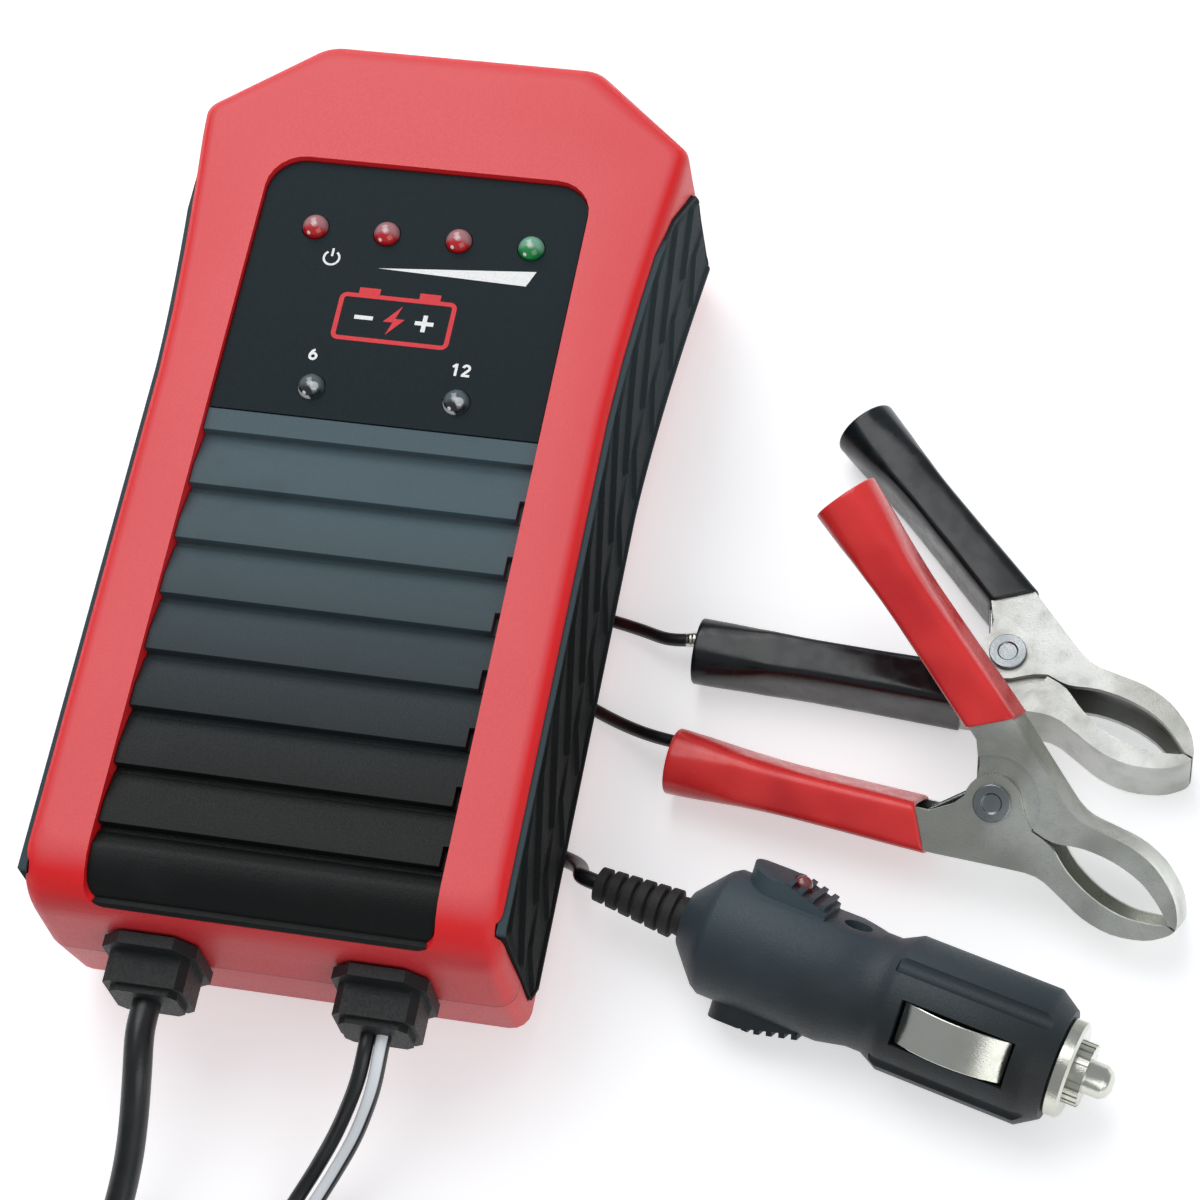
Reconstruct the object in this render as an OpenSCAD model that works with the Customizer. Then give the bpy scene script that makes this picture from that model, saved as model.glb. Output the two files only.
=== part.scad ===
// Battery charger with a quick-connect output lead, a pair of battery clips
// on short tails and a plug for a vehicle's accessory socket.
// The case lies on its back on four feet. X is to its right, Y towards its head, Z up.

/* [Case] */
// Length of the case from the lead end to the head
case_l = 153.4; // [145:0.1:160]
// Thickness of the case without its feet
case_t = 38; // [37:0.1:42]
// Width of the case along its straight sides
case_w = 72.8; // [72:0.1:78]
// Width across the shoulders at the head
head_w = 80.4; // [79:0.1:86]
// Height of the line where the two shells meet
parting_h = 16.2; // [15.5:0.1:17]
// Wall thickness of both shells
wall = 2.2; // [1.8:0.1:2.6]
// Height on the case's length at which the sides start to flare
flare_y = 12; // [5:1:20]
// Height on the case's length of the shoulder corner
shoulder_y = 62.3; // [60:0.1:64]
// Distance from the middle to the corner between chamfer and head
chamfer_x = 22.5; // [18:0.5:26]
// Radius of the two corners at the lead end
end_corner_r = 3; // [2:0.5:5]
// Radius that rolls the front over into the lead end
nose_r = 9.5; // [8:0.1:10]
// Rounding of the front's long edges
side_edge_r = 2.4; // [1.5:0.1:3]
// Rounding of the front's edge at the head
head_edge_r = 5; // [3:0.1:6]
// Slope of the rear shell's end face, over its height
end_draft = 1.8; // [1:0.1:2.5]

/* [Window and slats] */
// Width of the window in the front
window_w = 53; // [48:0.5:54]
// Place of the window's upper edge
window_top = 53.1; // [50:0.1:55]
// Radius of the window's upper corners
window_top_r = 6; // [4:0.5:8]
// Radius of the window's lower corners
window_low_r = 3; // [2:0.5:5]
// Depth of the label below the front face
label_drop = 1; // [0.6:0.1:1.4]
// Thickness of the label
label_t = 0.4; // [0.3:0.1:0.6]
// Place of the edge between the label and the slats
label_low = 6.5; // [4:0.1:8]
// Thickness of the front panel
panel_t = 4.4; // [4:0.1:5]
// Width of the ledge that carries the front panel
ledge_w = 2.5; // [2:0.1:3.5]
// Thickness of that ledge
ledge_t = 2; // [1.6:0.1:2.4]
// Length of the flat between the last slat and the middle of the rolled nose
nose_land = 2.5; // [1.5:0.1:4]
// Number of full slats
slat_count = 7; // [5:1:7]
// Place of the first groove
first_groove = 1.8; // [1:0.1:2.5]
// Width of the groove under each slat
groove_w = 0.9; // [0.6:0.1:1.2]
// Depth of the slats' crests below the front face
slat_crest = 1.1; // [0.9:0.1:1.3]
// Height of a slat from its foot to its crest
slat_rise = 1.5; // [1:0.1:1.8]
// Length of the short notch beside each slat's crest
notch_l = 1.1; // [0.8:0.1:1.6]

/* [Lamps] */
// Diameter of a lamp
lamp_d = 4.3; // [4:0.1:4.6]
// Height that a lamp stands above the label
lamp_h = 1.9; // [1.4:0.1:2.2]
// Place of the row of charge lamps
charge_y = 40.7; // [39:0.1:42]
// Place of the first charge lamp across the case
charge_x = -16.8; // [-17.5:0.1:-15]
// Distance from one charge lamp to the next
charge_pitch = 11.75; // [11:0.05:12]
// Place of the voltage lamps along the case
voltage_y = 12; // [11:0.1:14]
// Places of the two voltage lamps across the case
voltage_x = [-11, 12.2];

/* [Grips and feet] */
// Thickness of the rubber grips
grip_t = 1.2; // [1:0.1:1.4]
// How far a grip stands out of the case's side
grip_proud = 0.35; // [0.2:0.05:0.6]
// Height of the grip's front edge
grip_top = 36.2; // [35:0.1:36.4]
// Height of the grip's rear edge
grip_low = 3.2; // [2.5:0.1:5]
// Place of the grip's end near the leads
grip_end = -72.6; // [-73:0.1:-70]
// Height of the tread above the grip
tread_h = 0.6; // [0.4:0.1:0.9]
// Distance from one tread block to the next
tread_pitch = 11.5; // [11:0.1:12]
// Number of tread blocks
tread_count = 11; // [8:1:11]
// Diameter of a foot
foot_d = 10; // [8:0.5:12]
// Height that a foot holds the case above the ground
foot_h = 4; // [3.8:0.1:6]
// Places of the feet from the middle of the case
foot_place = [24, 61];

/* [Glands and leads] */
// Distance of each gland from the middle
gland_x = 17.6; // [16:0.1:19]
// Width of a gland's flange
gland_w = 14.5; // [13:0.1:15]
// Height of a gland's flange
gland_h = 16.5; // [14:0.1:17]
// Height of a gland's centre above the case's back
gland_z = 19.8; // [19:0.1:20.5]
// Thickness of a gland's flange
gland_flange = 2.2; // [1.8:0.1:2.6]
// Length of the block in front of the flange
gland_block = 6; // [5:0.1:7]
// Diameter of the mains lead
mains_d = 4.4; // [4:0.1:4.6]
// Diameter of one core of the output lead
core_d = 2.3; // [2:0.1:2.4]
// Diameter of a clip's wire
wire_d = 2.1; // [1.9:0.1:2.2]
// Diameter of the accessory plug's lead
plug_lead_d = 2.6; // [2.2:0.1:2.8]
// Space left between neighbouring turns of a coil
turn_gap = 0.6; // [0.5:0.05:0.8]
// Radius of the mains coil at the middle of its turns
mains_coil_r = 26; // [25:0.5:27]
// Radius of the output coil at the middle of its turns
output_coil_r = 25; // [24:0.5:26]
// Thickness of a tie round a coil
tie_t = 0.8; // [0.6:0.1:1]

/* [Clips] */
// Width of a clip across its sheet metal
clip_w = 10.4; // [10:0.1:11]
// Thickness of the sheet metal
sheet_t = 1; // [0.8:0.05:1.1]
// Radius of the round ears at the rivet
ear_r = 4.4; // [4:0.1:4.6]
// Radius of the rivet's shank
rivet_r = 2; // [1.6:0.1:2.2]
// Radius of the rivet's heads
rivet_head_r = 2.9; // [2.6:0.1:3.2]
// Length of a handle's sleeve
sleeve_l = 40.5; // [38:0.5:42]
// Thickness of a sleeve
sleeve_t = 0.65; // [0.5:0.05:0.7]

/* [Accessory plug] */
// Diameter of the plug's nose
nose_d = 21.2; // [20.8:0.1:21.4]
// Diameter of the plug's rear body
rear_d = 20; // [19:0.1:20.4]
// Diameter of the plug's waist
waist_d = 18.1; // [17.6:0.1:18.6]
// Diameter of the nose ring's flange
ring_d = 14.9; // [14:0.1:15.5]
// Diameter of the ring's knurled grip
knurl_d = 9.8; // [9.4:0.1:10.4]
// Diameter of the tip pin
pin_d = 5.2; // [4.8:0.1:5.4]
// Width of a side contact
contact_w = 6.6; // [6:0.1:7]
// Turn of the plug about its own axis as it lies
plug_roll = 35; // [30:1:40]

/* [Hidden] */

$fn = 40;
eps = 0.01;
fit_gap = 0.15;
run_gap = 0.05;

case_red = "#d8323a";
insert_black = "#2a2d31";
rubber_black = "#1d1e20";
lead_black = "#151617";
clip_steel = "#b9b8b2";
chrome_grey = "#d5d6d6";
board_green = "#27633f";

// ---------- points and curves ----------

// Unit vector along v.
function unit(v) = v / norm(v);

// Points of an arc about c from angle a0 to a1, in n steps.
function arc_pts(c, r, a0, a1, n) =
    [for (i = [0:n]) let (a = a0 + (a1 - a0) * i / n) [c[0] + r * cos(a), c[1] + r * sin(a)]];

// The corner b between a and c, rounded to radius r in n steps.
function corner(a, b, c, r, n) =
    let (u = unit(a - b), w = unit(c - b),
         half = acos(u * w) / 2,
         mid = b + unit(u + w) * r / sin(half),
         p0 = b + u * r / tan(half) - mid,
         p1 = b + w * r / tan(half) - mid,
         a0 = atan2(p0[1], p0[0]),
         turn = (atan2(p1[1], p1[0]) - a0 + 540) % 360 - 180)
    arc_pts(mid, r, a0, a0 + turn, n);

// A smooth curve through the points p, with n steps from each to the next.
function through(p, n) =
    let (last = len(p) - 1)
    [for (i = [0:last - 1], k = [0:(i == last - 1 ? n : n - 1)])
        let (a = p[max(i - 1, 0)], b = p[i], c = p[i + 1], d = p[min(i + 2, last)], t = k / n)
        0.5 * (2 * b + (c - a) * t + (2 * a - 5 * b + 4 * c - d) * t * t
            + (3 * b - a - 3 * c + d) * t * t * t)];

// The line p moved sideways by t.
function beside(p, t) =
    let (last = len(p) - 1)
    [for (i = [0:last]) let (d = unit(p[min(i + 1, last)] - p[max(i - 1, 0)])) p[i] + t * [d[1], -d[0]]];

// A point of a rounded rectangle of half sizes a and b, whose squareness is e.
function squircle(a, b, e, t) =
    [a * sign(cos(t)) * pow(abs(cos(t)), 2 / e), b * sign(sin(t)) * pow(abs(sin(t)), 2 / e)];

// ---------- solids from rings ----------

// A closed solid through rings that all have the same, even number of points.
// Its ends are strips from one side of the ring to the other, so a ring may be waisted.
module loft(rings) {
    n = len(rings[0]);
    last = len(rings) - 1;
    sides = [for (i = [0:last - 1], j = [0:n - 1], k = [0, 1])
        let (a = i * n + j, b = i * n + (j + 1) % n) k == 0 ? [a, a + n, b + n] : [a, b + n, b]];
    low_end = [for (j = [0:n / 2 - 2]) [j, j + 1, n - 2 - j, n - 1 - j]];
    high_end = [for (f = low_end) [for (k = [3:-1:0]) last * n + f[k]]];
    polyhedron(points = [for (r = rings, p = r) p], faces = concat(sides, low_end, high_end));
}

// Rings of a tube of half sizes rx and rz along the path.
function tube_rings(path, rx, rz, sides) =
    let (last = len(path) - 1)
    [for (i = [0:last])
        let (d = unit(path[min(i + 1, last)] - path[max(i - 1, 0)]),
             s = unit(cross(d, [0, 0, 1])), u = cross(s, d))
        [for (k = [0:sides - 1]) let (a = 360 * (k + 0.5) / sides) path[i] + rx * cos(a) * s - rz * sin(a) * u]];

module tube(path, rx, rz, sides) loft(tube_rings(path, rx, rz, sides));

// ---------- case ----------

half_l = case_l / 2;
half_w = case_w / 2;
head_half = head_w / 2;
flare_steps = 5;
flare_power = 1.5;
shoulder_r = 3;
chamfer_r = 6;
corner_steps = 4;
back_edge_r = 1.6;
shell_draft = 0.2;

// Half the case's width at the place y along it.
function side_x(y) =
    let (k = max(0, min(1, (y - flare_y) / (shoulder_y - shoulder_r - flare_y))))
    half_w + (head_half - half_w) * pow(k, flare_power);

// The right half of the outline, drawn in by side, low and high.
function half_outline(side, low, high) =
    let (foot = [half_w - side, -half_l + low],
         shoulder = [head_half - side, shoulder_y - high / 2],
         head = [chamfer_x - side / 2, half_l - high],
         flare_top = shoulder_y - shoulder_r - 3)
    concat(
        corner([0, foot[1]], foot, [foot[0], 0], end_corner_r, corner_steps),
        [for (k = [0:flare_steps - 1])
            let (y = flare_y + (flare_top - flare_y) * k / (flare_steps - 1)) [side_x(y) - side, y]],
        corner([side_x(flare_top) - side, flare_top], shoulder, head, shoulder_r, corner_steps),
        corner(shoulder, head, [0, head[1]], chamfer_r, corner_steps));

function mirrored(p) = concat(p, [for (i = [len(p) - 1:-1:0]) [-p[i][0], p[i][1]]]);

// One ring of the case at height z.
function case_ring(z, side, low, high) =
    [for (p = mirrored(half_outline(side, low, high))) [p[0], p[1], z]];

// How far a front edge of radius r is drawn in at height z, for a skin w inside the surface.
function roll_in(z, r, w) =
    let (left = max(r - w, 0.01), k = min(1, max(0, z - (case_t - r)) / left))
    w + left * (1 - sqrt(1 - k * k));

function front_levels(w) =
    concat([parting_h],
        [for (a = [0:15:90]) case_t - nose_r + (nose_r - w) * sin(a)]);

function front_rings(w) =
    [for (z = front_levels(w))
        let (d = z > parting_h ? shell_draft : 0)
        case_ring(z, d + roll_in(z, max(side_edge_r, w), w), d + roll_in(z, nose_r, w),
            roll_in(z, head_edge_r, w))];

// How far the rear shell's ends are drawn in at height z.
function rear_low(z) = end_draft * (1 - z / parting_h);

function rear_rings(w, top) =
    [for (k = [[w, 1.6], [w + 0.5, 0.7], [w + 1.8, 0.2], [top, 0]])
        let (z = k[0])
        case_ring(z, w + k[1] * back_edge_r / 1.6, w + k[1] * back_edge_r / 1.6 + rear_low(z), w + k[1] * back_edge_r / 1.6)];

module in_case() translate([0, 0, foot_h]) children();

// A prism along X from a profile in Y and Z.
module along_x(w, profile) {
    translate([-w / 2, 0, 0]) rotate([90, 0, 90]) linear_extrude(w) polygon(profile);
}

nose_centre = [-half_l + nose_r, case_t - nose_r];
lip_angle = 155;
panel_low_r = nose_r - panel_t;

// The window's profile in Y and Z, deep enough to reach the ledge at depth t.
function window_profile(t) = concat(
    [[window_top, case_t + 1], [window_top, case_t - t]],
    arc_pts(nose_centre, nose_r - t, 90, lip_angle, 8),
    [nose_centre + 12 * [cos(lip_angle), sin(lip_angle)], [nose_centre[0] - 12, case_t + 1]]);

// The window's outline seen from the front, smaller by gap all round.
module window_outline(gap) {
    x = window_w / 2 - gap;
    top = window_top - gap;
    low = -half_l - 2;
    polygon(concat(
        corner([0, top], [-x, top], [-x, 0], window_top_r - gap, 6),
        [[-x, nose_centre[1] - case_l], [x, nose_centre[1] - case_l]],
        corner([x, 0], [x, top], [0, top], window_top_r - gap, 6)));
}

lip_z = nose_centre[1] + nose_r * sin(lip_angle);

// The window's outline seen from the lead end, smaller by gap all round.
module lip_outline(gap) {
    x = window_w / 2 - gap;
    low = lip_z + gap;
    polygon(concat(
        [[x, case_t + 2], [-x, case_t + 2]],
        corner([-x, case_t], [-x, low], [0, low], window_low_r - gap, 6),
        corner([0, low], [x, low], [x, case_t], window_low_r - gap, 6)));
}

module window_block(gap, profile) {
    intersection() {
        along_x(window_w - 2 * gap, profile);
        translate([0, 0, nose_centre[1] - nose_r]) linear_extrude(case_t) window_outline(gap);
        rotate([90, 0, 0]) linear_extrude(2 * case_l, center = true) lip_outline(gap);
    }
}

screw_y = [-66, 52];
screw_x = [30.2, 32];
boss_r = 3.2;
screw_r = 1.5;
screw_head_r = 2.7;
pilot_r = 1.25;
screw_head_depth = 3;

// Puts its children at each of the four case screws.
module at_screws() {
    for (k = [0, 1], s = [-1, 1]) translate([s * screw_x[k], screw_y[k], 0]) children();
}

module at_feet() {
    for (x = [-1, 1], y = [-1, 1]) translate([x * foot_place[0], y * foot_place[1], 0]) children();
}

neck_w = 10.5;
neck_h = 9;

// The two openings that the glands' necks pass through.
module gland_holes() {
    for (s = [-1, 1])
        translate([s * gland_x - neck_w / 2 - fit_gap, -half_l - 2, gland_z - neck_h / 2 - fit_gap])
            cube([neck_w + 2 * fit_gap, wall + 4, neck_h + 2 * fit_gap]);
}

// The grip's outline in Y and Z, smaller by m all round.
function grip_outline(m) = [
    [grip_end + m, grip_top - m], [grip_end + 0.6 + m, grip_low + 4], [grip_end + 4 + m, grip_low + m],
    [shoulder_y + 0.6 - m, grip_low + m], [shoulder_y + 0.2 - m, 19], [shoulder_y - 2.6 - m, 27 - m],
    [shoulder_y - 12 - m, 34 - m], [shoulder_y - 20 - m, grip_top - m]];

// A grip's place at the right: the grip's outline outside the case's skin at depth t.
module grip_zone(m, t) {
    difference() {
        translate([half_w - 6, 0, 0]) rotate([90, 0, 90]) linear_extrude(12) polygon(grip_outline(m));
        translate([0, 0, -eps]) loft(skin_rings(t));
    }
}

// The case's skin at depth t below its sides, from back to front.
function skin_rings(t) = [for (z = [0, case_t + 1]) case_ring(z, t, 0, 0)];

module front_body() {
    difference() {
        union() {
            difference() {
                loft(front_rings(0));
                loft(concat([case_ring(parting_h - 1, wall, wall, wall)], front_rings(wall)));
            }
            intersection() {
                loft(front_rings(wall / 2));
                union() {
                    window_block(-ledge_w, window_profile(panel_t + ledge_t));
                    at_screws() cylinder(r = boss_r, h = case_t);
                }
            }
        }
        window_block(0, window_profile(panel_t));
        translate([-window_w / 2 + ledge_w, -half_l + nose_r, parting_h])
            cube([window_w - 2 * ledge_w, window_top + half_l - nose_r - ledge_w, case_t]);
        gland_holes();
        for (s = [0, 1]) mirror([s, 0, 0]) grip_zone(-fit_gap, grip_t);
        at_screws() translate([0, 0, parting_h - 1]) cylinder(r = pilot_r, h = 12);
    }
}

module front_shell() { color(case_red) in_case() front_body(); }

standoff_r = 3;
board_place = [26, 40];
board_h = 7;

module at_standoffs() {
    for (x = [-1, 1], y = [-1, 1]) translate([x * board_place[0], y * board_place[1], 0]) children();
}

module rear_shell() {
    color(case_red) in_case() difference() {
        union() {
            difference() {
                loft(rear_rings(0, parting_h));
                loft(rear_rings(wall, parting_h + 1));
            }
            at_screws() translate([0, 0, 1]) cylinder(r = boss_r + 1, h = parting_h - 1);
            at_standoffs() translate([0, 0, 1]) cylinder(r = standoff_r, h = board_h - 1);
        }
        gland_holes();
        for (s = [0, 1]) mirror([s, 0, 0]) grip_zone(-fit_gap, grip_t);
        at_screws() {
            translate([0, 0, -1]) cylinder(r = screw_r, h = parting_h + 2);
            translate([0, 0, -1]) cylinder(r = screw_head_r + fit_gap, h = 1 + screw_head_depth);
        }
        at_standoffs() translate([0, 0, wall]) cylinder(r = 1.1, h = board_h);
        at_feet() translate([0, 0, -1]) cylinder(d = foot_d + 2 * fit_gap, h = 1.5);
    }
}

module rubber_feet() {
    color(rubber_black) at_feet() cylinder(d = foot_d, h = foot_h + 0.5);
}

module case_screws() {
    color(clip_steel) in_case() at_screws() difference() {
        union() {
            translate([0, 0, 0.6]) cylinder(r = screw_head_r, h = screw_head_depth - 0.6);
            translate([0, 0, 1]) cylinder(r = pilot_r - run_gap / 2, h = parting_h + 8);
        }
        translate([-screw_head_r, -0.4, 0]) cube([2 * screw_head_r, 0.8, 1.4]);
        translate([-0.4, -screw_head_r, 0]) cube([0.8, 2 * screw_head_r, 1.4]);
    }
}

// ---------- front panel, label and lamps ----------

crest_z = case_t - slat_crest;
slat_slope = 0.57;
slat_pitch = (first_groove - nose_land - nose_centre[0]) / slat_count;
groove_drop = 0.3;
roll_r = nose_r - slat_crest;
lip_r = nose_r - 0.2;

function slat_top(k) = first_groove - slat_pitch * k;

// One slat from its foot at y down to the groove below it.
function slat_points(y) = [
    [y, crest_z - slat_rise], [y - slat_slope * slat_pitch, crest_z],
    [y - slat_pitch + groove_w, crest_z], [y - slat_pitch + groove_w, crest_z - slat_rise - groove_drop],
    [y - slat_pitch, crest_z - slat_rise - groove_drop]];

function panel_profile() = concat(
    [[window_top - fit_gap, case_t - panel_t], [window_top - fit_gap, case_t - label_drop - label_t],
     [label_low, case_t - label_drop - label_t], [label_low, crest_z],
     [first_groove + groove_w, crest_z], [first_groove + groove_w, crest_z - slat_rise],
     [first_groove, crest_z - slat_rise]],
    [for (k = [0:slat_count - 1], p = slat_points(slat_top(k))) p],
    [[slat_top(slat_count), crest_z - slat_rise], [slat_top(slat_count) - 2, crest_z - 0.3]],
    arc_pts(nose_centre, roll_r, 92, lip_angle - 9, 18),
    arc_pts(nose_centre, lip_r, lip_angle - 7, lip_angle - 1, 3),
    arc_pts(nose_centre, nose_r - panel_t, lip_angle, 90, 8));

lamp_hole_r = lamp_d / 2 + 0.1;

module at_charge_lamps(first, last) {
    for (k = [first:last]) translate([charge_x + charge_pitch * k, charge_y, 0]) children();
}

module at_voltage_lamps() {
    for (x = voltage_x) translate([x, voltage_y, 0]) children();
}

module lamp_holes() {
    at_charge_lamps(0, 3) translate([0, 0, case_t - 8]) cylinder(r = lamp_hole_r, h = 10);
    at_voltage_lamps() translate([0, 0, case_t - 8]) cylinder(r = lamp_hole_r, h = 10);
}

module front_panel() {
    color(insert_black) in_case() difference() {
        window_block(fit_gap, panel_profile());
        lamp_holes();
        for (k = [0:slat_count - 1])
            translate([window_w / 2 - notch_l, slat_top(k) - slat_pitch, crest_z - slat_rise])
                cube([notch_l + 1, (1 - slat_slope) * slat_pitch, slat_rise + 1]);
    }
}

label_gap = 0.2;

module label_plate() {
    color("#23262b") in_case() difference() {
        translate([0, 0, case_t - label_drop - label_t]) linear_extrude(label_t) intersection() {
            window_outline(fit_gap + label_gap);
            translate([-window_w / 2, label_low + label_gap]) square([window_w, window_top]);
        }
        lamp_holes();
    }
}

lamp_base = case_t - panel_t;
lamp_board_z = 25;
lamp_board_t = 1.6;
lamp_flange_r = 2.9;
lead_wire_r = 0.3;

// A lamp from its legs on the lamp board up to its dome.
module lamp() {
    top = case_t - label_drop + lamp_h;
    translate([0, 0, lamp_base - 1]) cylinder(r = lamp_flange_r, h = 0.9);
    translate([0, 0, lamp_base - 1]) cylinder(d = lamp_d, h = top - lamp_d / 2 - lamp_base + 1);
    translate([0, 0, top - lamp_d / 2]) intersection() {
        sphere(d = lamp_d);
        translate([0, 0, lamp_d / 2]) cube([lamp_d, lamp_d, lamp_d], center = true);
    }
    for (s = [-1, 1]) translate([s * 1.27, 0, lamp_board_z]) cylinder(r = lead_wire_r, h = lamp_base - lamp_board_z);
}

module charge_lamps() { color("#d23a3f") in_case() at_charge_lamps(0, 2) lamp(); }
module full_lamp() { color("#2f9a4c") in_case() at_charge_lamps(3, 3) lamp(); }
module voltage_lamps() { color("#c9ced2") in_case() at_voltage_lamps() lamp(); }

lamp_board_size = [44, 42];
lamp_board_y = 26.5;
post_x = 19.5;
post_y = [9, 33];

module lamp_board() {
    color(board_green) in_case() difference() {
        union() {
            translate([-lamp_board_size[0] / 2, lamp_board_y - lamp_board_size[1] / 2, lamp_board_z - lamp_board_t])
                cube([lamp_board_size[0], lamp_board_size[1], lamp_board_t]);
            for (x = [-post_x, post_x], y = post_y)
                translate([x, y, lamp_board_z - eps]) cylinder(r = 1.8, h = lamp_base - lamp_board_z);
        }
        at_charge_lamps(0, 3) for (s = [-1, 1]) translate([s * 1.27, 0, lamp_board_z - 3]) cylinder(r = lead_wire_r + 0.1, h = 4);
        at_voltage_lamps() for (s = [-1, 1]) translate([s * 1.27, 0, lamp_board_z - 3]) cylinder(r = lead_wire_r + 0.1, h = 4);
    }
}

// ---------- grips ----------

blade_w = 5.4;
blade_run = 15;
chevron_h = 7;

// One tread block: a slanting blade above and a chevron below it.
function blade_points(y) = [[y, grip_top - 3.2], [y - 1.2, grip_top - 3.2], [y - blade_run, 17.5], [y - blade_run + blade_w, 17.5]];
function chevron_points(y) = [[y - 11, 15.2], [y - 5.5, 15.2], [y - 9.5, grip_low + 3], [y - 15.5, grip_low + 3]];

module grip_body() {
    difference() {
        intersection() {
            grip_zone(0, grip_t - fit_gap);
            translate([0, 0, -eps]) loft(skin_rings(-grip_proud));
        }
        difference() {
            grip_zone(1.6, -grip_proud / 2);
            translate([0, 0, -eps]) loft(skin_rings(-grip_proud / 2));
        }
    }
    intersection() {
        for (k = [0:tread_count - 1]) {
            y = grip_end + 14 + k * tread_pitch;
            for (p = [blade_points(y), chevron_points(y)])
                translate([half_w - 2, 0, 0]) rotate([90, 0, 90]) linear_extrude(8) polygon(p);
        }
        grip_zone(1.6, grip_t / 2);
        translate([0, 0, -eps]) loft(skin_rings(-tread_h));
    }
}

module grip_right() { color(rubber_black) in_case() grip_body(); }
module grip_left() { color(rubber_black) in_case() mirror([1, 0, 0]) grip_body(); }

// ---------- inside the case ----------

gland_inside = 2;
inner_wire_r = 0.8;
wire_reach = 14.4;
board_t = 1.6;
board_top = board_h + board_t;
board_end_gap = 17.7;
board_size = [60, case_l - 2 * board_end_gap];

module main_board() {
    color(board_green) in_case() difference() {
        translate([-board_size[0] / 2, -board_size[1] / 2, board_h]) cube([board_size[0], board_size[1], board_t]);
        at_standoffs() translate([0, 0, board_h - 1]) cylinder(r = 1.6, h = board_t + 2);
        at_screws() translate([0, 0, board_h - 1]) cylinder(r = boss_r + 1.6, h = board_t + 2);
    }
}

module board_screws() {
    color(clip_steel) in_case() at_standoffs() {
        translate([0, 0, board_top]) cylinder(r = 2.6, h = 1.8);
        translate([0, 0, wall + 0.2]) cylinder(r = 1.05, h = board_top - wall);
    }
}

fuse_space = 6.1;
fuse_y = -half_l + wall + gland_inside + wire_reach + fuse_space;

core_size = [46, 38.4, 15];
core_space = 26;
core_y = fuse_y + core_space;
core_leg = 7.7;
winding_over = 3.4;
core_z = board_top + winding_over;

module transformer_core() {
    color("#54575a") in_case() translate([0, core_y, core_z + core_size[2] / 2]) difference() {
        cube(core_size, center = true);
        for (s = [-1, 1]) translate([s * core_size[0] / 4, 0, 0])
            cube([core_leg, core_size[1] - 2 * core_leg, core_size[2] + 2], center = true);
    }
}

module transformer_winding() {
    color("#b06b34") in_case() translate([0, core_y, core_z + core_size[2] / 2]) difference() {
        cube([core_size[0] / 2 + core_leg - 2 * fit_gap, core_size[1] - 2 * core_leg - 2 * fit_gap,
            core_size[2] + 2 * winding_over], center = true);
        cube([core_size[0] / 2 - core_leg + 2 * fit_gap, core_size[1], core_size[2] + 2 * fit_gap], center = true);
    }
}

module bridge_rectifier() {
    color(insert_black) in_case() translate([14, 3, board_top]) cube([15, 4, 11]);
}

module capacitors() {
    color("#3a4a78") in_case() {
        translate([-12, 20, board_top]) cylinder(d = 12.6, h = 13);
        translate([6, 20, board_top]) cylinder(d = 10, h = 13);
        translate([18, 34, board_top]) cylinder(d = 8, h = 12);
    }
}

module mains_fuse() {
    color("#d9dcdc") in_case() {
        translate([-18, fuse_y, board_top + 5.8]) rotate([0, 90, 0]) cylinder(d = 5, h = 20);
        for (x = [-17.5, -2.5]) translate([x, fuse_y - 2.5, board_top]) cube([4, 5, 4.2]);
    }
}

heatsink_y = board_size[1] / 2 - 9;
heatsink_h = lamp_board_z - board_top - 1;
transistor_t = 4.7;

module heatsink() {
    color("#c4c6c8") in_case() {
        translate([-22, heatsink_y, board_top]) cube([44, 2, heatsink_h]);
        for (k = [0:5]) translate([-22 + k * 8.4, heatsink_y + 1.5, board_top]) cube([2, 5, heatsink_h]);
    }
}

module power_transistors() {
    color(insert_black) in_case() for (x = [-16, 6]) translate([x, heatsink_y - transistor_t, board_top]) cube([10, transistor_t, 13]);
}

module control_chip() {
    color(insert_black) in_case() translate([-8, 31, board_top]) cube([7, 10, 3.4]);
}

// Tails of the two leads inside the case, down to the board.
module inner_wires() {
    color("#8c3b2c") in_case() for (s = [-1, 1], d = [-1, 1]) {
        x = s * gland_x + d * 1.3;
        translate([x, -half_l + wall + gland_inside - 1.4, gland_z]) rotate([-90, 0, 0]) cylinder(r = inner_wire_r, h = wire_reach + 1.4);
        translate([x, -half_l + wall + gland_inside + wire_reach, gland_z]) sphere(r = inner_wire_r);
        translate([x, -half_l + wall + gland_inside + wire_reach, board_top]) cylinder(r = inner_wire_r, h = gland_z - board_top);
    }
}

// ---------- glands ----------

gland_chamfer = 3;
block_w = 12.5;
block_h = 10.5;
gland_face_y = -half_l - gland_flange - gland_block;

// A rectangle w by h with its corners cut off by c, centred.
module cut_rect(w, h, c) {
    x = w / 2;
    y = h / 2;
    polygon([[x - c, y], [-x + c, y], [-x, y - c], [-x, -y + c], [-x + c, -y], [x - c, -y], [x, -y + c], [x, y - c]]);
}

module gland(s) {
    translate([s * gland_x, -half_l - 0.3, gland_z]) rotate([90, 0, 0]) {
        linear_extrude(gland_flange - 0.3) cut_rect(gland_w, gland_h, gland_chamfer);
        linear_extrude(gland_flange + gland_block - 1.3) cut_rect(block_w, block_h, 1.2);
        linear_extrude(gland_flange + gland_block - 0.3) cut_rect(block_w - 2, block_h - 2, 1.2);
        translate([0, 0, -wall - 1]) linear_extrude(wall + 1.5) cut_rect(neck_w, neck_h, 1);
        translate([0, 0, -wall - 0.6 - gland_inside]) linear_extrude(gland_inside) cut_rect(neck_w + 3, neck_h + 3, 1);
    }
}

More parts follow.
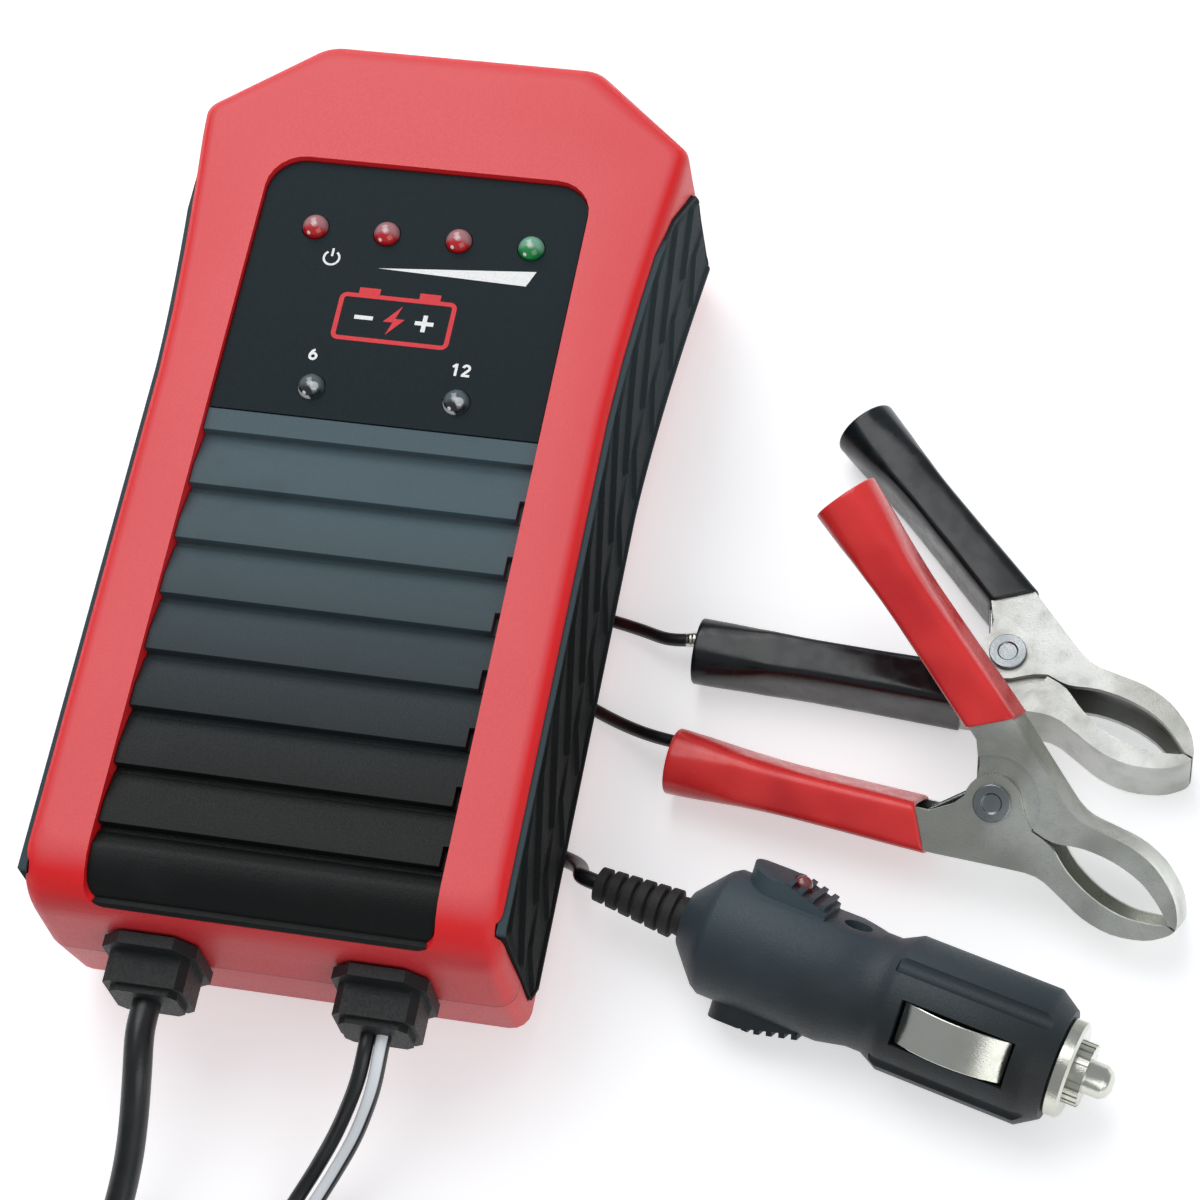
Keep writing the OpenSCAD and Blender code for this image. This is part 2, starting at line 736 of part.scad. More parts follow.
module gland_with_holes(s) {
    difference() {
        gland(s);
        for (d = [-1, 1]) translate([s * gland_x + d * 1.3, -half_l + wall - 0.8, gland_z])
            rotate([-90, 0, 0]) cylinder(r = inner_wire_r + run_gap, h = 8);
    }
}

module mains_gland() { color(insert_black) in_case() gland_with_holes(-1); }
module output_gland() { color(insert_black) in_case() gland_with_holes(1); }

// ---------- mains lead ----------

gland_out_z = gland_z + foot_h;
mains_route = [
    [-17.6, gland_face_y, gland_out_z], [-17.6, gland_face_y - 4.4, gland_out_z], [-17, -95, 22], [-17.2, -100, 17.8],
    [-17.9, -104.5, 13], [-18.9, -109, 8.8], [-20, -114.5, 5.6], [-20.6, -121, 3.9],
    [-20.8, -130, 3.2], [-20.8, -140, 3.2], [-20.8, -149.6, 3.2]];

coil_lift = tie_t + 0.2;
mains_pitch = mains_d + turn_gap;
mains_layers = 4;
mains_turns = 2.375;
mains_out_r = mains_coil_r + mains_turns * mains_pitch / 2;
mains_centre = [-20.8 - mains_out_r, -154];
loop_steps = 24;

// How far a spiral has moved in after t turns, when it reverses every n turns.
function zigzag(t, n) = let (m = t % (2 * n)) m <= n ? m : 2 * n - m;

// How many layers have been climbed after t turns.
function climbed(t, n, layers) =
    layers < 2 ? 0 : [for (k = [1:layers - 1]) max(0, min(1, (t - k * n + 0.25) * 2))] * [for (k = [1:layers - 1]) 1];

function coil_point(c, r, pitch, rise, n, layers, a0, way, z0, t) =
    let (q = r - pitch * zigzag(t, n), a = a0 + way * 360 * t)
    [c[0] + q * cos(a), c[1] + q * sin(a), z0 + rise * climbed(t, n, layers)];

// A coil wound in layers, with a straight end of length e at each end.
function coil_path(c, r, pitch, rise, n, layers, a0, way, z0, e) =
    let (last = ceil(n * layers * loop_steps),
         p = [for (i = [0:last]) coil_point(c, r, pitch, rise, n, layers, a0, way, z0, n * layers * i / last)],
         head = way * [-sin(a0), cos(a0), 0],
         a1 = a0 + way * 360 * n * layers,
         tail = way * [-sin(a1), cos(a1), 0])
    concat([p[0] - e * head], p, [p[last] + e * tail]);

// The space between two sections of sizes w and h whose centres are v apart.
function section_gap(v, w, h) =
    norm(v) * (1 - 1 / norm([norm([v[0], v[1]]) / w, v[2] / h]));

// The least space between parts of a coil that are half a turn or more apart.
function least_gap(p, w, h) =
    min([for (i = [0:len(p) - 1], j = [i + loop_steps / 2:1:len(p) - 1]) section_gap(p[j] - p[i], w, h)]);

mains_coil_path = coil_path(mains_centre, mains_out_r, mains_pitch, mains_pitch, mains_turns, mains_layers,
    0, -1, mains_d / 2 + coil_lift, mains_d);

mains_coil_end = mains_coil_path[len(mains_coil_path) - 1];
plug_z = 6.85;
mains_tail_route = [
    mains_coil_end, mains_coil_end + [0, 4.4, 0], mains_coil_end + [0, 12, -2.6],
    mains_coil_end + [0, 18, -5.4], mains_coil_end + [0, 24, -8], mains_coil_end + [0, 30, -9.6],
    [mains_coil_end[0], mains_coil_end[1] + 36, plug_z], [mains_coil_end[0], mains_coil_end[1] + 42, plug_z]];

module mains_lead() {
    color(lead_black) {
        tube(mains_route, mains_d / 2, mains_d / 2, 8);
        tube(mains_tail_route, mains_d / 2, mains_d / 2, 8);
    }
}

module mains_lead_coil() {
    color(lead_black) tube(mains_coil_path, mains_d / 2, mains_d / 2, 6);
    echo("mains coil, least gap to itself", least_gap(mains_coil_path, mains_d, mains_d));
}

mains_plug_at = mains_tail_route[len(mains_tail_route) - 1];
relief_l = 24;
plug_body_l = 36;
plug_pin_l = 19;
plug_pin_r = 2;
plug_pin_x = 9.3;

// Sections of the mains plug's body: place along it, half width, half height, squareness.
function mains_plug_sections() = [
    [relief_l - 1, 4.6, 4.2, 2.2], [relief_l + 2, 6.4, 5.6, 2.4], [relief_l + 10, 9.4, 6.4, 3],
    [relief_l + 20, 14, plug_z, 3.6], [relief_l + 27, 17, plug_z, 4], [relief_l + plug_body_l, 17.6, plug_z, 4]];

module mains_plug_body() {
    color(lead_black) translate(mains_plug_at) difference() {
        union() {
            loft([for (q = mains_plug_sections())
                [for (k = [0:27]) let (p = squircle(q[1], q[2], q[3], -360 * k / 28)) [p[0], q[0], p[1]]]]);
            rotate([-90, 0, 0]) rotate_extrude() polygon(concat([[0, 0]],
                [for (k = [0:6]) each [[2.9 + 0.18 * k, 3.3 * k], [2.9 + 0.18 * k, 3.3 * k + 2.1], [2.4 + 0.18 * k, 3.3 * k + 2.3],
                    [2.4 + 0.18 * k, 3.3 * k + 3.1]]], [[4, relief_l], [0, relief_l]]));
        }
        for (s = [-1, 1]) translate([s * plug_pin_x, relief_l + plug_body_l - 8, 0]) rotate([-90, 0, 0])
            cylinder(r = plug_pin_r + run_gap, h = 10);
    }
}

module mains_plug_pins() {
    color(chrome_grey) translate(mains_plug_at)
        for (s = [-1, 1]) translate([s * plug_pin_x, relief_l + plug_body_l - 8, 0]) rotate([-90, 0, 0]) {
            cylinder(r = plug_pin_r, h = 8 + plug_pin_l - plug_pin_r);
            translate([0, 0, 8 + plug_pin_l - plug_pin_r]) sphere(r = plug_pin_r);
        }
}

// ---------- output lead ----------

black_core_route = [
    [16.4, gland_face_y, gland_out_z], [16.4, gland_face_y - 2.3, gland_out_z], [16, -90, 22], [15, -93, 19.4], [12.6, -97, 14],
    [9.6, -101, 8.6], [6.6, -105.5, 4.8], [3.8, -111, 2.6], [1.6, -118, 2.2],
    [0.2, -126, 2.15], [-0.35, -134, 2.15], [-0.35, -141.2, 2.15]];
white_core_route = [
    [18.8, gland_face_y, gland_out_z], [18.8, gland_face_y - 2.3, gland_out_z], [18.5, -90, 22], [17.8, -93, 19.6], [15.6, -97.5, 14.4],
    [12.4, -102, 9], [9.2, -106.8, 5], [6.2, -112.4, 2.7], [4, -119, 2.2],
    [2.6, -126.5, 2.15], [2, -134, 2.15], [2, -141.2, 2.15]];

twin_w = 2 * core_d;
output_turns = 3.125;
output_pitch = twin_w + turn_gap;
output_rise = core_d + turn_gap;
output_out_r = output_coil_r + output_turns * output_pitch / 2;
output_centre = [0.85 + output_out_r, -145.8];
output_coil_path = coil_path(output_centre, output_out_r, output_pitch, output_rise, output_turns, 2,
    180, 1, core_d / 2 + coil_lift, twin_w);

output_end = output_coil_path[len(output_coil_path) - 1];
output_tail_route = [for (p = [[0, 0, 0], [4.6, 0, 0], [9, -1.2, -0.5], [13.5, -3.6, -1.1], [18, -5.8, -1.6], [23, -6.8, -1.75],
    [27.6, -6.8, -1.75]]) output_end + p];
output_plug_at = output_tail_route[len(output_tail_route) - 1];

module output_lead() {
    color(lead_black) tube(black_core_route, core_d / 2, core_d / 2, 8);
    color("#e4e4e2") tube(white_core_route, core_d / 2, core_d / 2, 8);
    color(lead_black) tube(output_tail_route, twin_w / 2, core_d / 2, 8);
}

module output_lead_coil() {
    color(lead_black) tube(output_coil_path, twin_w / 2, core_d / 2, 6);
    echo("output coil, least gap to itself", least_gap(output_coil_path, twin_w, core_d));
}

connector_l = 27;
connector_w = 11.5;
connector_h = 6.6;

// A two-pole quick connector along +X from its cable end, lying on the ground.
module connector() {
    z = connector_h / 2;
    difference() {
        union() {
            loft([for (q = [[0, 3, 2.2], [6, 3.6, 2.6], [8, 5, 3.1], [17, connector_w / 2, z]])
                [for (k = [0:15]) let (p = squircle(q[1], q[2], 3.5, 360 * k / 16)) [q[0], p[0], z + p[1]]]]);
            translate([16.9, -connector_w / 2, 0]) cube([4, connector_w, connector_h]);
            translate([20.8, 0.7 - connector_w / 2, 1]) cube([connector_l - 20.8, 4.6, connector_h - 2]);
        }
        translate([19, -connector_w / 4 - 0.2, z]) rotate([0, 90, 0]) cylinder(r = 1.2, h = 12);
    }
    translate([19, connector_w / 4 + 0.2, z]) rotate([0, 90, 0]) cylinder(r = 1.2, h = connector_l - 19);
}

module output_connector() {
    color(lead_black) translate([output_plug_at[0], output_plug_at[1], output_plug_at[2] - connector_h / 2]) connector();
}

clip_connector_at = [-1.5, 84];
plug_connector_at = [-19.5, 84];

module adapter_connectors() {
    color(lead_black) {
        translate([clip_connector_at[0], clip_connector_at[1], 0]) connector();
        translate([plug_connector_at[0], plug_connector_at[1], 0]) rotate([0, 0, 180]) connector();
    }
}

// A flat strap round a coil's turns at angle a.
module tie(c, r0, r1, z1, a) {
    translate([c[0], c[1], 0]) rotate([0, 0, a]) translate([(r0 + r1) / 2, 0, (z1 + tie_t) / 2]) difference() {
        cube([r1 - r0 + 2 * tie_t, 4, z1 + tie_t], center = true);
        cube([r1 - r0, 5, z1 - tie_t], center = true);
    }
}

module coil_ties() {
    mains_in = mains_out_r - mains_turns * mains_pitch - mains_d / 2 - 0.3;
    output_in = output_out_r - output_turns * output_pitch - twin_w / 2 - 0.3;
    color("#202224") {
        for (a = [100, 260]) tie(mains_centre, mains_in, mains_out_r + mains_d / 2 + 0.3,
            coil_lift + (mains_layers - 1) * mains_pitch + mains_d + 0.3, a);
        for (a = [75, 320]) tie(output_centre, output_in, output_out_r + twin_w / 2 + 0.3,
            coil_lift + output_rise + core_d + 0.3, a);
    }
}

// ---------- clips ----------

// Each clip is drawn flat: U runs from the rivet to the jaws' tips, V across them, W is its width.
handle_dir = [-0.93, 0.367];
handle_side = [0.367, 0.93];
handle_start = [-4.7, 8.9];
handle_half = 3.1;
metal_in_sleeve = 30;
joggle_r = 8.3;
jaw_mid = 0.15;

function on_handle(s, t) = handle_start + s * handle_dir + t * handle_side;

back_edge = concat([on_handle(metal_in_sleeve, handle_half - 0.4)],
    through([on_handle(2, handle_half), on_handle(-1, handle_half), [6, 7.6], [11.5, 5.5], [16, 5.9], [20.7, 6.6],
        [25.5, 6.1], [30, 4], [32.4, 1.5], [33, jaw_mid]], 3));
jaw_edge = through([[31.6, jaw_mid], [29, 1.6], [25, 3], [20, 3.2], [15, 2.2], [10.8, 0.35], [7.2, jaw_mid]], 3);
jaw_profile = concat(back_edge, jaw_edge, [[5.4, -0.9]], arc_pts([0, 0], ear_r, -37, -200, 12),
    [[-4.9, 3.6], on_handle(1.6, -handle_half), on_handle(metal_in_sleeve, 0.4 - handle_half)]);

// The space inside the folded sheet: everything more than a sheet's thickness inside the back edge.
function jaw_inside() =
    let (b = beside(back_edge, sheet_t), first = b[0], last = b[len(b) - 1])
    concat([first + 6 * handle_dir], b, [[last[0], -12], [-44, -12]]);

module clip_extrude(w, p) translate([0, 0, -w / 2]) linear_extrude(w) polygon(p);

module folded_half() {
    difference() {
        clip_extrude(clip_w, jaw_profile);
        clip_extrude(clip_w - 2 * sheet_t, jaw_inside());
    }
}

rivet_bore_r = rivet_r + run_gap;
inner_w = clip_w - 2 * sheet_t - 4 * run_gap;

// The half whose ears lie outside.
module outer_half() {
    difference() {
        folded_half();
        cylinder(r = rivet_bore_r, h = 2 * clip_w, center = true);
    }
}

// The half whose ears are set in, so that they turn between the other half's.
module inner_half() {
    difference() {
        union() {
            difference() {
                folded_half();
                cylinder(r = joggle_r, h = 2 * clip_w, center = true);
            }
            intersection() {
                clip_extrude(clip_w, jaw_profile);
                difference() {
                    cylinder(r = joggle_r + 0.1, h = clip_w, center = true);
                    cylinder(r = joggle_r - sheet_t, h = 2 * clip_w, center = true);
                }
                difference() {
                    clip_extrude(clip_w, jaw_profile);
                    clip_extrude(inner_w - 2 * sheet_t, jaw_inside());
                }
            }
            difference() {
                intersection() {
                    clip_extrude(inner_w, jaw_profile);
                    cylinder(r = joggle_r - eps, h = clip_w, center = true);
                }
                clip_extrude(inner_w - 2 * sheet_t, jaw_inside());
            }
        }
        cylinder(r = rivet_bore_r, h = 2 * clip_w, center = true);
    }
}

module rivet() {
    cylinder(r = rivet_r, h = clip_w + 1, center = true);
    for (s = [-1, 1]) scale([1, 1, s]) translate([0, 0, clip_w / 2 + run_gap]) difference() {
        cylinder(r = rivet_head_r, h = 0.7);
        translate([0, 0, 0.35]) cylinder(r = rivet_r - 0.5, h = 1);
    }
}

spring_wire_r = 0.45;
spring_ring_r = 2.9;

// A coil spring round the rivet with a leg into each handle.
module torsion_spring() {
    rotate_extrude() translate([rivet_r + 0.3, -2.6]) square([2 * spring_wire_r, 5.2]);
    for (s = [-1, 1]) {
        w = s * 2;
        tip = [-10.8, s * 12.9];
        root = [-spring_ring_r, s * 1.4];
        run = tip - root;
        translate([root[0], root[1], w]) rotate([0, 0, atan2(run[1], run[0])]) rotate([0, 90, 0])
            cylinder(r = spring_wire_r, h = norm(run));
    }
}

// Sections of a sleeve: place along it, half depth, half width, squareness, slant.
function sleeve_sections() = [
    [0, handle_half + sleeve_t, clip_w / 2 + sleeve_t, 7, 0.42],
    [5, handle_half + sleeve_t, clip_w / 2 + sleeve_t, 6, 0.25],
    [13, handle_half + sleeve_t - 0.1, clip_w / 2 + sleeve_t - 0.1, 4.4, 0.1],
    [21, handle_half + sleeve_t - 0.1, clip_w / 2 + sleeve_t - 0.2, 3.6, 0],
    [28, handle_half + sleeve_t + 0.4, clip_w / 2 + sleeve_t - 0.5, 2.8, 0],
    [34, handle_half + sleeve_t + 1, clip_w / 2, 2.2, 0],
    [sleeve_l, handle_half + sleeve_t + 1.5, clip_w / 2, 2, 0]];

// A sleeve's rings, thinner by t, running past its ends by over.
function sleeve_rings(t, over) =
    let (q = sleeve_sections(), last = len(q) - 1)
    [for (i = [0:last])
        let (s = q[i][0] + (i == 0 ? -over : i == last ? over : 0))
        [for (k = [0:19])
            let (p = squircle(q[i][1] - t, q[i][2] - t, q[i][3], -360 * k / 20),
                 f = on_handle(s - q[i][4] * p[0], p[0]))
            [f[0], f[1], p[1]]]];

module sleeve(slide) {
    translate([slide * handle_dir[0], slide * handle_dir[1], 0]) difference() {
        loft(sleeve_rings(0, 0));
        loft(sleeve_rings(sleeve_t, 1));
    }
}

// The half for side s: 1 is the upper one, -1 the lower one.
module on_side(s) scale([1, s, 1]) children();

black_heading = -24.9;
black_rivet_at = [99.5, -5, clip_w / 2 + sleeve_t + 0.05];

module place_black() translate(black_rivet_at) rotate([0, 0, black_heading]) children();

red_rivet_at = [101.46, -29.75, 11.48];
red_u = unit([0.8833, -0.4427, -0.1547]);
red_v_raw = [0.4555, 0.732, 0.5068];
red_v = unit(red_v_raw - red_u * (red_v_raw * red_u));
red_w = cross(red_u, red_v);

module place_red() multmatrix([
    [red_u[0], red_v[0], red_w[0], red_rivet_at[0]],
    [red_u[1], red_v[1], red_w[1], red_rivet_at[1]],
    [red_u[2], red_v[2], red_w[2], red_rivet_at[2]]]) children();

black_slide = 0;
red_slide = 2.8;
wire_in_sleeve = 5;
wire_offset = handle_half + 1.5 - wire_d / 2 - 0.5;

// A wire's points from the end of the lower handle's metal out to near the sleeve's end.
function wire_start(slide) =
    let (out = sleeve_l + slide - wire_in_sleeve)
    [for (q = [[metal_in_sleeve, 1.9], [metal_in_sleeve + 1.3, 1.9], [(metal_in_sleeve + 1.3 + out) / 2, -0.6], [out, -wire_offset]])
        let (p = on_handle(q[0], q[1])) [p[0], -p[1], 0]];

function turn_z(p, a) = [p[0] * cos(a) - p[1] * sin(a), p[0] * sin(a) + p[1] * cos(a), p[2]];

module black_moving_jaw() { color(clip_steel) place_black() on_side(1) outer_half(); }
module black_fixed_jaw() { color(clip_steel) place_black() on_side(-1) inner_half(); }
module black_rivet() { color(clip_steel) place_black() rivet(); }
module black_spring() { color(clip_steel) place_black() torsion_spring(); }
module black_moving_sleeve() { color(lead_black) place_black() on_side(1) sleeve(black_slide); }
module black_fixed_sleeve() { color(lead_black) place_black() on_side(-1) sleeve(black_slide); }

module red_moving_jaw() { color(clip_steel) place_red() on_side(1) inner_half(); }
module red_fixed_jaw() { color(clip_steel) place_red() on_side(-1) outer_half(); }
module red_rivet() { color(clip_steel) place_red() rivet(); }
module red_spring() { color(clip_steel) place_red() torsion_spring(); }
module red_moving_sleeve() { color("#cf2f35") place_red() on_side(1) sleeve(red_slide); }
module red_fixed_sleeve() { color("#cf2f35") place_red() on_side(-1) sleeve(red_slide); }

// ---------- clip wires ----------

wire_z = wire_d / 2;
black_wire_route = concat([for (p = wire_start(black_slide)) black_rivet_at + turn_z(p, black_heading)], [
    [46.4, -6.9, 5], [41.5, -5.2, 3.2], [36.4, -3.6, 1.9], [30.5, -2.4, wire_z], [24, -2.6, wire_z],
    [17, -4, wire_z], [10, -4.4, wire_z], [4, -1.6, wire_z], [1.4, 4, wire_z], [3.6, 10, wire_z], [9, 14.5, wire_z],
    [12, 20, wire_z], [9.4, 26, wire_z], [3, 30, wire_z], [-3.4, 34.6, wire_z], [-6, 41, wire_z], [-3.6, 47.5, wire_z],
    [-1.4, 54, wire_z], [-3.4, 61, wire_z], [-6.4, 67.6, wire_z], [-7.4, 73.6, wire_z], [-7, 79, wire_z],
    [-5.6, 82.1, 2.2], [-3.6, 82.8, 3.3], [-1.5, 82.8, 3.3]]);
red_wire_route = concat([for (p = wire_start(red_slide)) red_rivet_at + p[0] * red_u + p[1] * red_v], [
    [50.8, -25.4, 7.2], [45.6, -24, 5.6], [41.2, -22.1, 3.7], [37.4, -20.2, 2.2], [33.8, -18.4, 1.3], [29, -16.9, wire_z], [23.5, -16, wire_z],
    [16.5, -15.6, wire_z], [9.5, -15, wire_z], [2.6, -13, wire_z], [-3.4, -9, wire_z], [-7, -3, wire_z], [-6.4, 4, wire_z],
    [-2.6, 10.6, wire_z], [0.2, 17, wire_z], [-2.4, 23, wire_z], [-9, 28.4, wire_z], [-13.4, 34.6, wire_z],
    [-14, 42, wire_z], [-11, 49, wire_z], [-9.6, 56, wire_z], [-9.8, 63, wire_z], [-10.6, 70, wire_z],
    [-10.4, 77, wire_z], [-8.6, 82.4, wire_z], [-6.4, 84.8, 2.2], [-3.9, 85.2, 3.3], [-1.5, 85.2, 3.3]]);

module black_wire() { color(lead_black) tube(black_wire_route, wire_d / 2, wire_d / 2, 8); }
module red_wire() { color(lead_black) tube(red_wire_route, wire_d / 2, wire_d / 2, 8); }

// ---------- accessory plug ----------

// The plug is drawn along X from its lead end. Y is towards its lamp, Z towards a side contact.
plug_at = [43.1, -51.6, nose_d / 2];
plug_heading = -14.3;
relief_end = 15.5;
shell_end = 75;

module place_plug() translate(plug_at) rotate([0, 0, plug_heading]) rotate([plug_roll, 0, 0]) children();

// A solid of revolution about X from points [place, radius].
module about_x(p) rotate([90, 0, 90]) rotate_extrude() polygon([for (q = p) [q[1], q[0]]]);

shell_outline = [
    [relief_end - 0.4, 0], [relief_end - 0.4, 4.4], [relief_end + 1, 6], [relief_end + 4, 9.3], [relief_end + 5.2, rear_d / 2],
    [40, rear_d / 2], [44.5, waist_d / 2], [47, waist_d / 2], [50, nose_d / 2], [71.8, nose_d / 2],
    [74.4, 8.9], [shell_end, 8.5], [shell_end, 0]];

fuse_r = 2.6;
fuse_l = 20;
collar_r = 3.15;
pocket_r = collar_r + 0.25;
wire_bore_to = 36;
pin_collar = 2;
tip_travel = 2.5;
spring_l = 6;
pocket_end = shell_end - pin_collar - fuse_l - spring_l;
window_from = 51.7;
window_to = 69.4;
contact_travel = 1.2;
contact_out = 11.1;
pad_from = 22.6;
pad_to = 37;
pad_half = 4.4;
pad_high = 12.6;
pad_low = 9.7;
rib_count = 5;
flat_y = 8.7;
lamp_at = 30.5;
screw_at = 40.4;
groove_turn = 47;
spigot_r = 5.6;
spigot_from = 71;

// The sloping thumb pad on the side s, with ribs across its lower part.
module thumb_pad(s) {
    intersection() {
        scale([1, s, 1]) union() {
            intersection() {
                translate([0, 6, 0]) rotate([-90, 0, 0]) linear_extrude(10) union() {
                    translate([pad_from + pad_half, 0]) circle(r = pad_half);
                    translate([pad_from + pad_half, -pad_half]) square([pad_to - pad_from - pad_half, 2 * pad_half]);
                }
                translate([0, 0, -pad_half]) linear_extrude(2 * pad_half)
                    polygon([[pad_from - 1, 5], [pad_from - 1, pad_high], [pad_from + 3, pad_high], [pad_to, pad_low - 0.3], [pad_to, 5]]);
            }
            for (k = [0:rib_count - 1])
                translate([pad_from + 6.2 + k * 1.9, pad_high - 1.1 - k * 0.48, -pad_half + 0.5]) rotate([0, 0, -14]) cube([0.9, 0.9, 2 * pad_half - 1]);
        }
        rotate([0, 90, 0]) cylinder(r = pad_high, h = pad_to + 1);
    }
}

module shell_solid() {
    difference() {
        union() {
            about_x(shell_outline);
            thumb_pad(1);
            thumb_pad(-1);
        }
        translate([pad_to - 1, flat_y, -12]) cube([8.8, 6, 24]);
        for (s = [-1, 1]) translate([window_from, -contact_w / 2 - 0.3, s * 9.3 - 3]) cube([window_to - window_from, contact_w + 0.6, 6]);
        for (s = [-1, 1], k = [-1, 1]) rotate([k * groove_turn, 0, 0]) translate([49, 0, s * (nose_d / 2 + 0.5)])
            rotate([0, 90, 0]) cylinder(r = 1.5, h = 24.2);
        rotate([0, 90, 0]) translate([0, 0, pocket_end]) cylinder(r = pocket_r, h = 50);
        rotate([0, 90, 0]) translate([0, 0, spigot_from]) cylinder(r = spigot_r + run_gap, h = 10);
        rotate([0, 90, 0]) cylinder(r = 2.4, h = wire_bore_to);
        translate([screw_at, -7, 0]) rotate([-90, 0, 0]) cylinder(r = 1.3, h = 20);
        translate([screw_at, 4.6, 0]) rotate([-90, 0, 0]) cylinder(r = 2.2, h = 10);
        translate([lamp_at, 3, 0]) rotate([-90, 0, 0]) cylinder(r = 1.55, h = 12);
    }
}

module half_space(s) translate([-5, s > 0 ? 0 : -30, -30]) cube([100, 30, 60]);

module plug_top_shell() {
    color(insert_black) place_plug() intersection() {
        shell_solid();
        half_space(1);
    }
}

module plug_bottom_shell() {
    color(insert_black) place_plug() intersection() {
        shell_solid();
        half_space(-1);
    }
}

relief_ribs = 6;

module plug_relief() {
    step = 2.3;
    color(rubber_black) place_plug() about_x(concat([[0, 0], [0, 2.2]],
        [for (k = [0:relief_ribs - 1]) let (r = 2.7 + 0.2 * k)
            each [[0.2 + k * step, r], [1.6 + k * step, r + 0.1], [1.9 + k * step, r - 0.7], [2.2 + k * step, r - 0.7]]],
        [[relief_end - 0.5, 3.2], [relief_end - 0.5, 0]]));
}

contact_t = 0.5;

// A bowed contact leaf, whose ends turn in, in the window on side s.
module contact_leaf(s) {
    x0 = window_from + 0.5;
    x1 = window_to - 0.5;
    low = 8.9;
    mid = (x0 + x1) / 2;
    bow = contact_out - low;
    r = ((x1 - x0) * (x1 - x0) / 4 + bow * bow) / (2 * bow);
    half = asin((x1 - x0) / 2 / r);
    c = [mid, contact_out - r];
    scale([1, 1, s]) translate([0, contact_w / 2, 0]) rotate([90, 0, 0]) linear_extrude(contact_w)
        polygon(concat([[x0, low - 1]], arc_pts(c, r, 90 + half, 90 - half, 12), [[x1, low - 1], [x1 - contact_t, low - 1]],
            arc_pts(c, r - contact_t, 90 - half + 2, 90 + half - 2, 12), [[x0 + contact_t, low - 1]]));
}

module plug_upper_contact() { color(chrome_grey) place_plug() contact_leaf(1); }
module plug_lower_contact() { color(chrome_grey) place_plug() contact_leaf(-1); }

ring_flange = 2.5;
knurl_end = 79.5;
tip_end = 83.4;
knurl_count = 24;

module plug_nose_ring() {
    color(chrome_grey) place_plug() difference() {
        about_x([[spigot_from, 0], [spigot_from, spigot_r], [shell_end, spigot_r], [shell_end + run_gap, ring_d / 2 - 0.3],
            [shell_end + 0.4, ring_d / 2], [shell_end + ring_flange - 0.4, ring_d / 2], [shell_end + ring_flange, ring_d / 2 - 0.5],
            [shell_end + ring_flange, knurl_d / 2], [knurl_end, knurl_d / 2], [knurl_end, 0]]);
        rotate([0, 90, 0]) translate([0, 0, spigot_from - 1]) cylinder(r = pocket_r, h = shell_end - spigot_from + 1);
        rotate([0, 90, 0]) cylinder(r = pin_d / 2 + run_gap, h = 90);
        for (k = [0:knurl_count - 1]) rotate([k * 360 / knurl_count, 0, 0])
            translate([shell_end + ring_flange, -0.2, knurl_d / 2 - 0.4]) cube([4, 0.4, 1]);
    }
}

module plug_tip_pin() {
    color(chrome_grey) place_plug() about_x([[shell_end - pin_collar, 0], [shell_end - pin_collar, collar_r],
        [shell_end - run_gap, collar_r], [shell_end - run_gap, pin_d / 2], [tip_end - 1.4, pin_d / 2], [tip_end - 0.5, pin_d / 2 - 0.6],
        [tip_end, pin_d / 2 - 1.5], [tip_end, 0]]);
}

module plug_fuse() {
    color("#d9dcdc") place_plug() translate([shell_end - pin_collar - fuse_l, 0, 0]) rotate([0, 90, 0]) cylinder(r = fuse_r, h = fuse_l);
}

module plug_tip_spring() {
    color(clip_steel) place_plug() translate([pocket_end, 0, 0]) rotate([0, 90, 0]) difference() {
        cylinder(r = collar_r, h = spring_l);
        translate([0, 0, -1]) cylinder(r = fuse_r - 0.6, h = spring_l + 2);
    }
}

module plug_lamp() {
    color("#cc2b31") place_plug() translate([lamp_at, 3.2, 0]) rotate([-90, 0, 0]) {
        cylinder(r = 1.5, h = 8.2);
        translate([0, 0, 8.2]) sphere(r = 1.5);
    }
}

module plug_screw() {
    color(clip_steel) place_plug() translate([screw_at, -6, 0]) rotate([-90, 0, 0]) {
        cylinder(r = 1.25, h = 10.8);
        translate([0, 0, 10.7]) cylinder(r = 2, h = 1.6);
    }
}

plug_lead_z = plug_lead_d / 2;
plug_lead_route = [
    plug_at, plug_at + 2.6 * [-cos(plug_heading), -sin(plug_heading), 0], [39.8, -49.6, 8.2],
    [39.1, -47.7, 5.4], [37.6, -46, 3], [34.6, -44.7, 1.7], [27.5, -42, plug_lead_z], [19, -39.6, plug_lead_z],
    [11, -38.8, plug_lead_z], [3, -37, plug_lead_z], [-5, -33.4, plug_lead_z], [-12, -28.4, plug_lead_z],
    [-17.6, -21.8, plug_lead_z], [-20, -13.6, plug_lead_z], [-18.4, -5.4, plug_lead_z], [-15, 2.4, plug_lead_z],
    [-14.6, 10.6, plug_lead_z], [-18.4, 18, plug_lead_z], [-23, 25, plug_lead_z], [-24.6, 33, plug_lead_z],
    [-22, 41, plug_lead_z], [-17.6, 48.6, plug_lead_z], [-15.6, 56.8, plug_lead_z], [-15.4, 64.6, plug_lead_z],
    [-15.8, 71.6, plug_lead_z], [-14, 76.6, plug_lead_z], [-12.4, 80.2, 1.8], [-13.8, 83.2, 2.6],
    [-16.8, 84, 3.3], [-19.5, 84, 3.3]];

module plug_lead() { color(lead_black) tube(plug_lead_route, plug_lead_d / 2, plug_lead_d / 2, 8); }

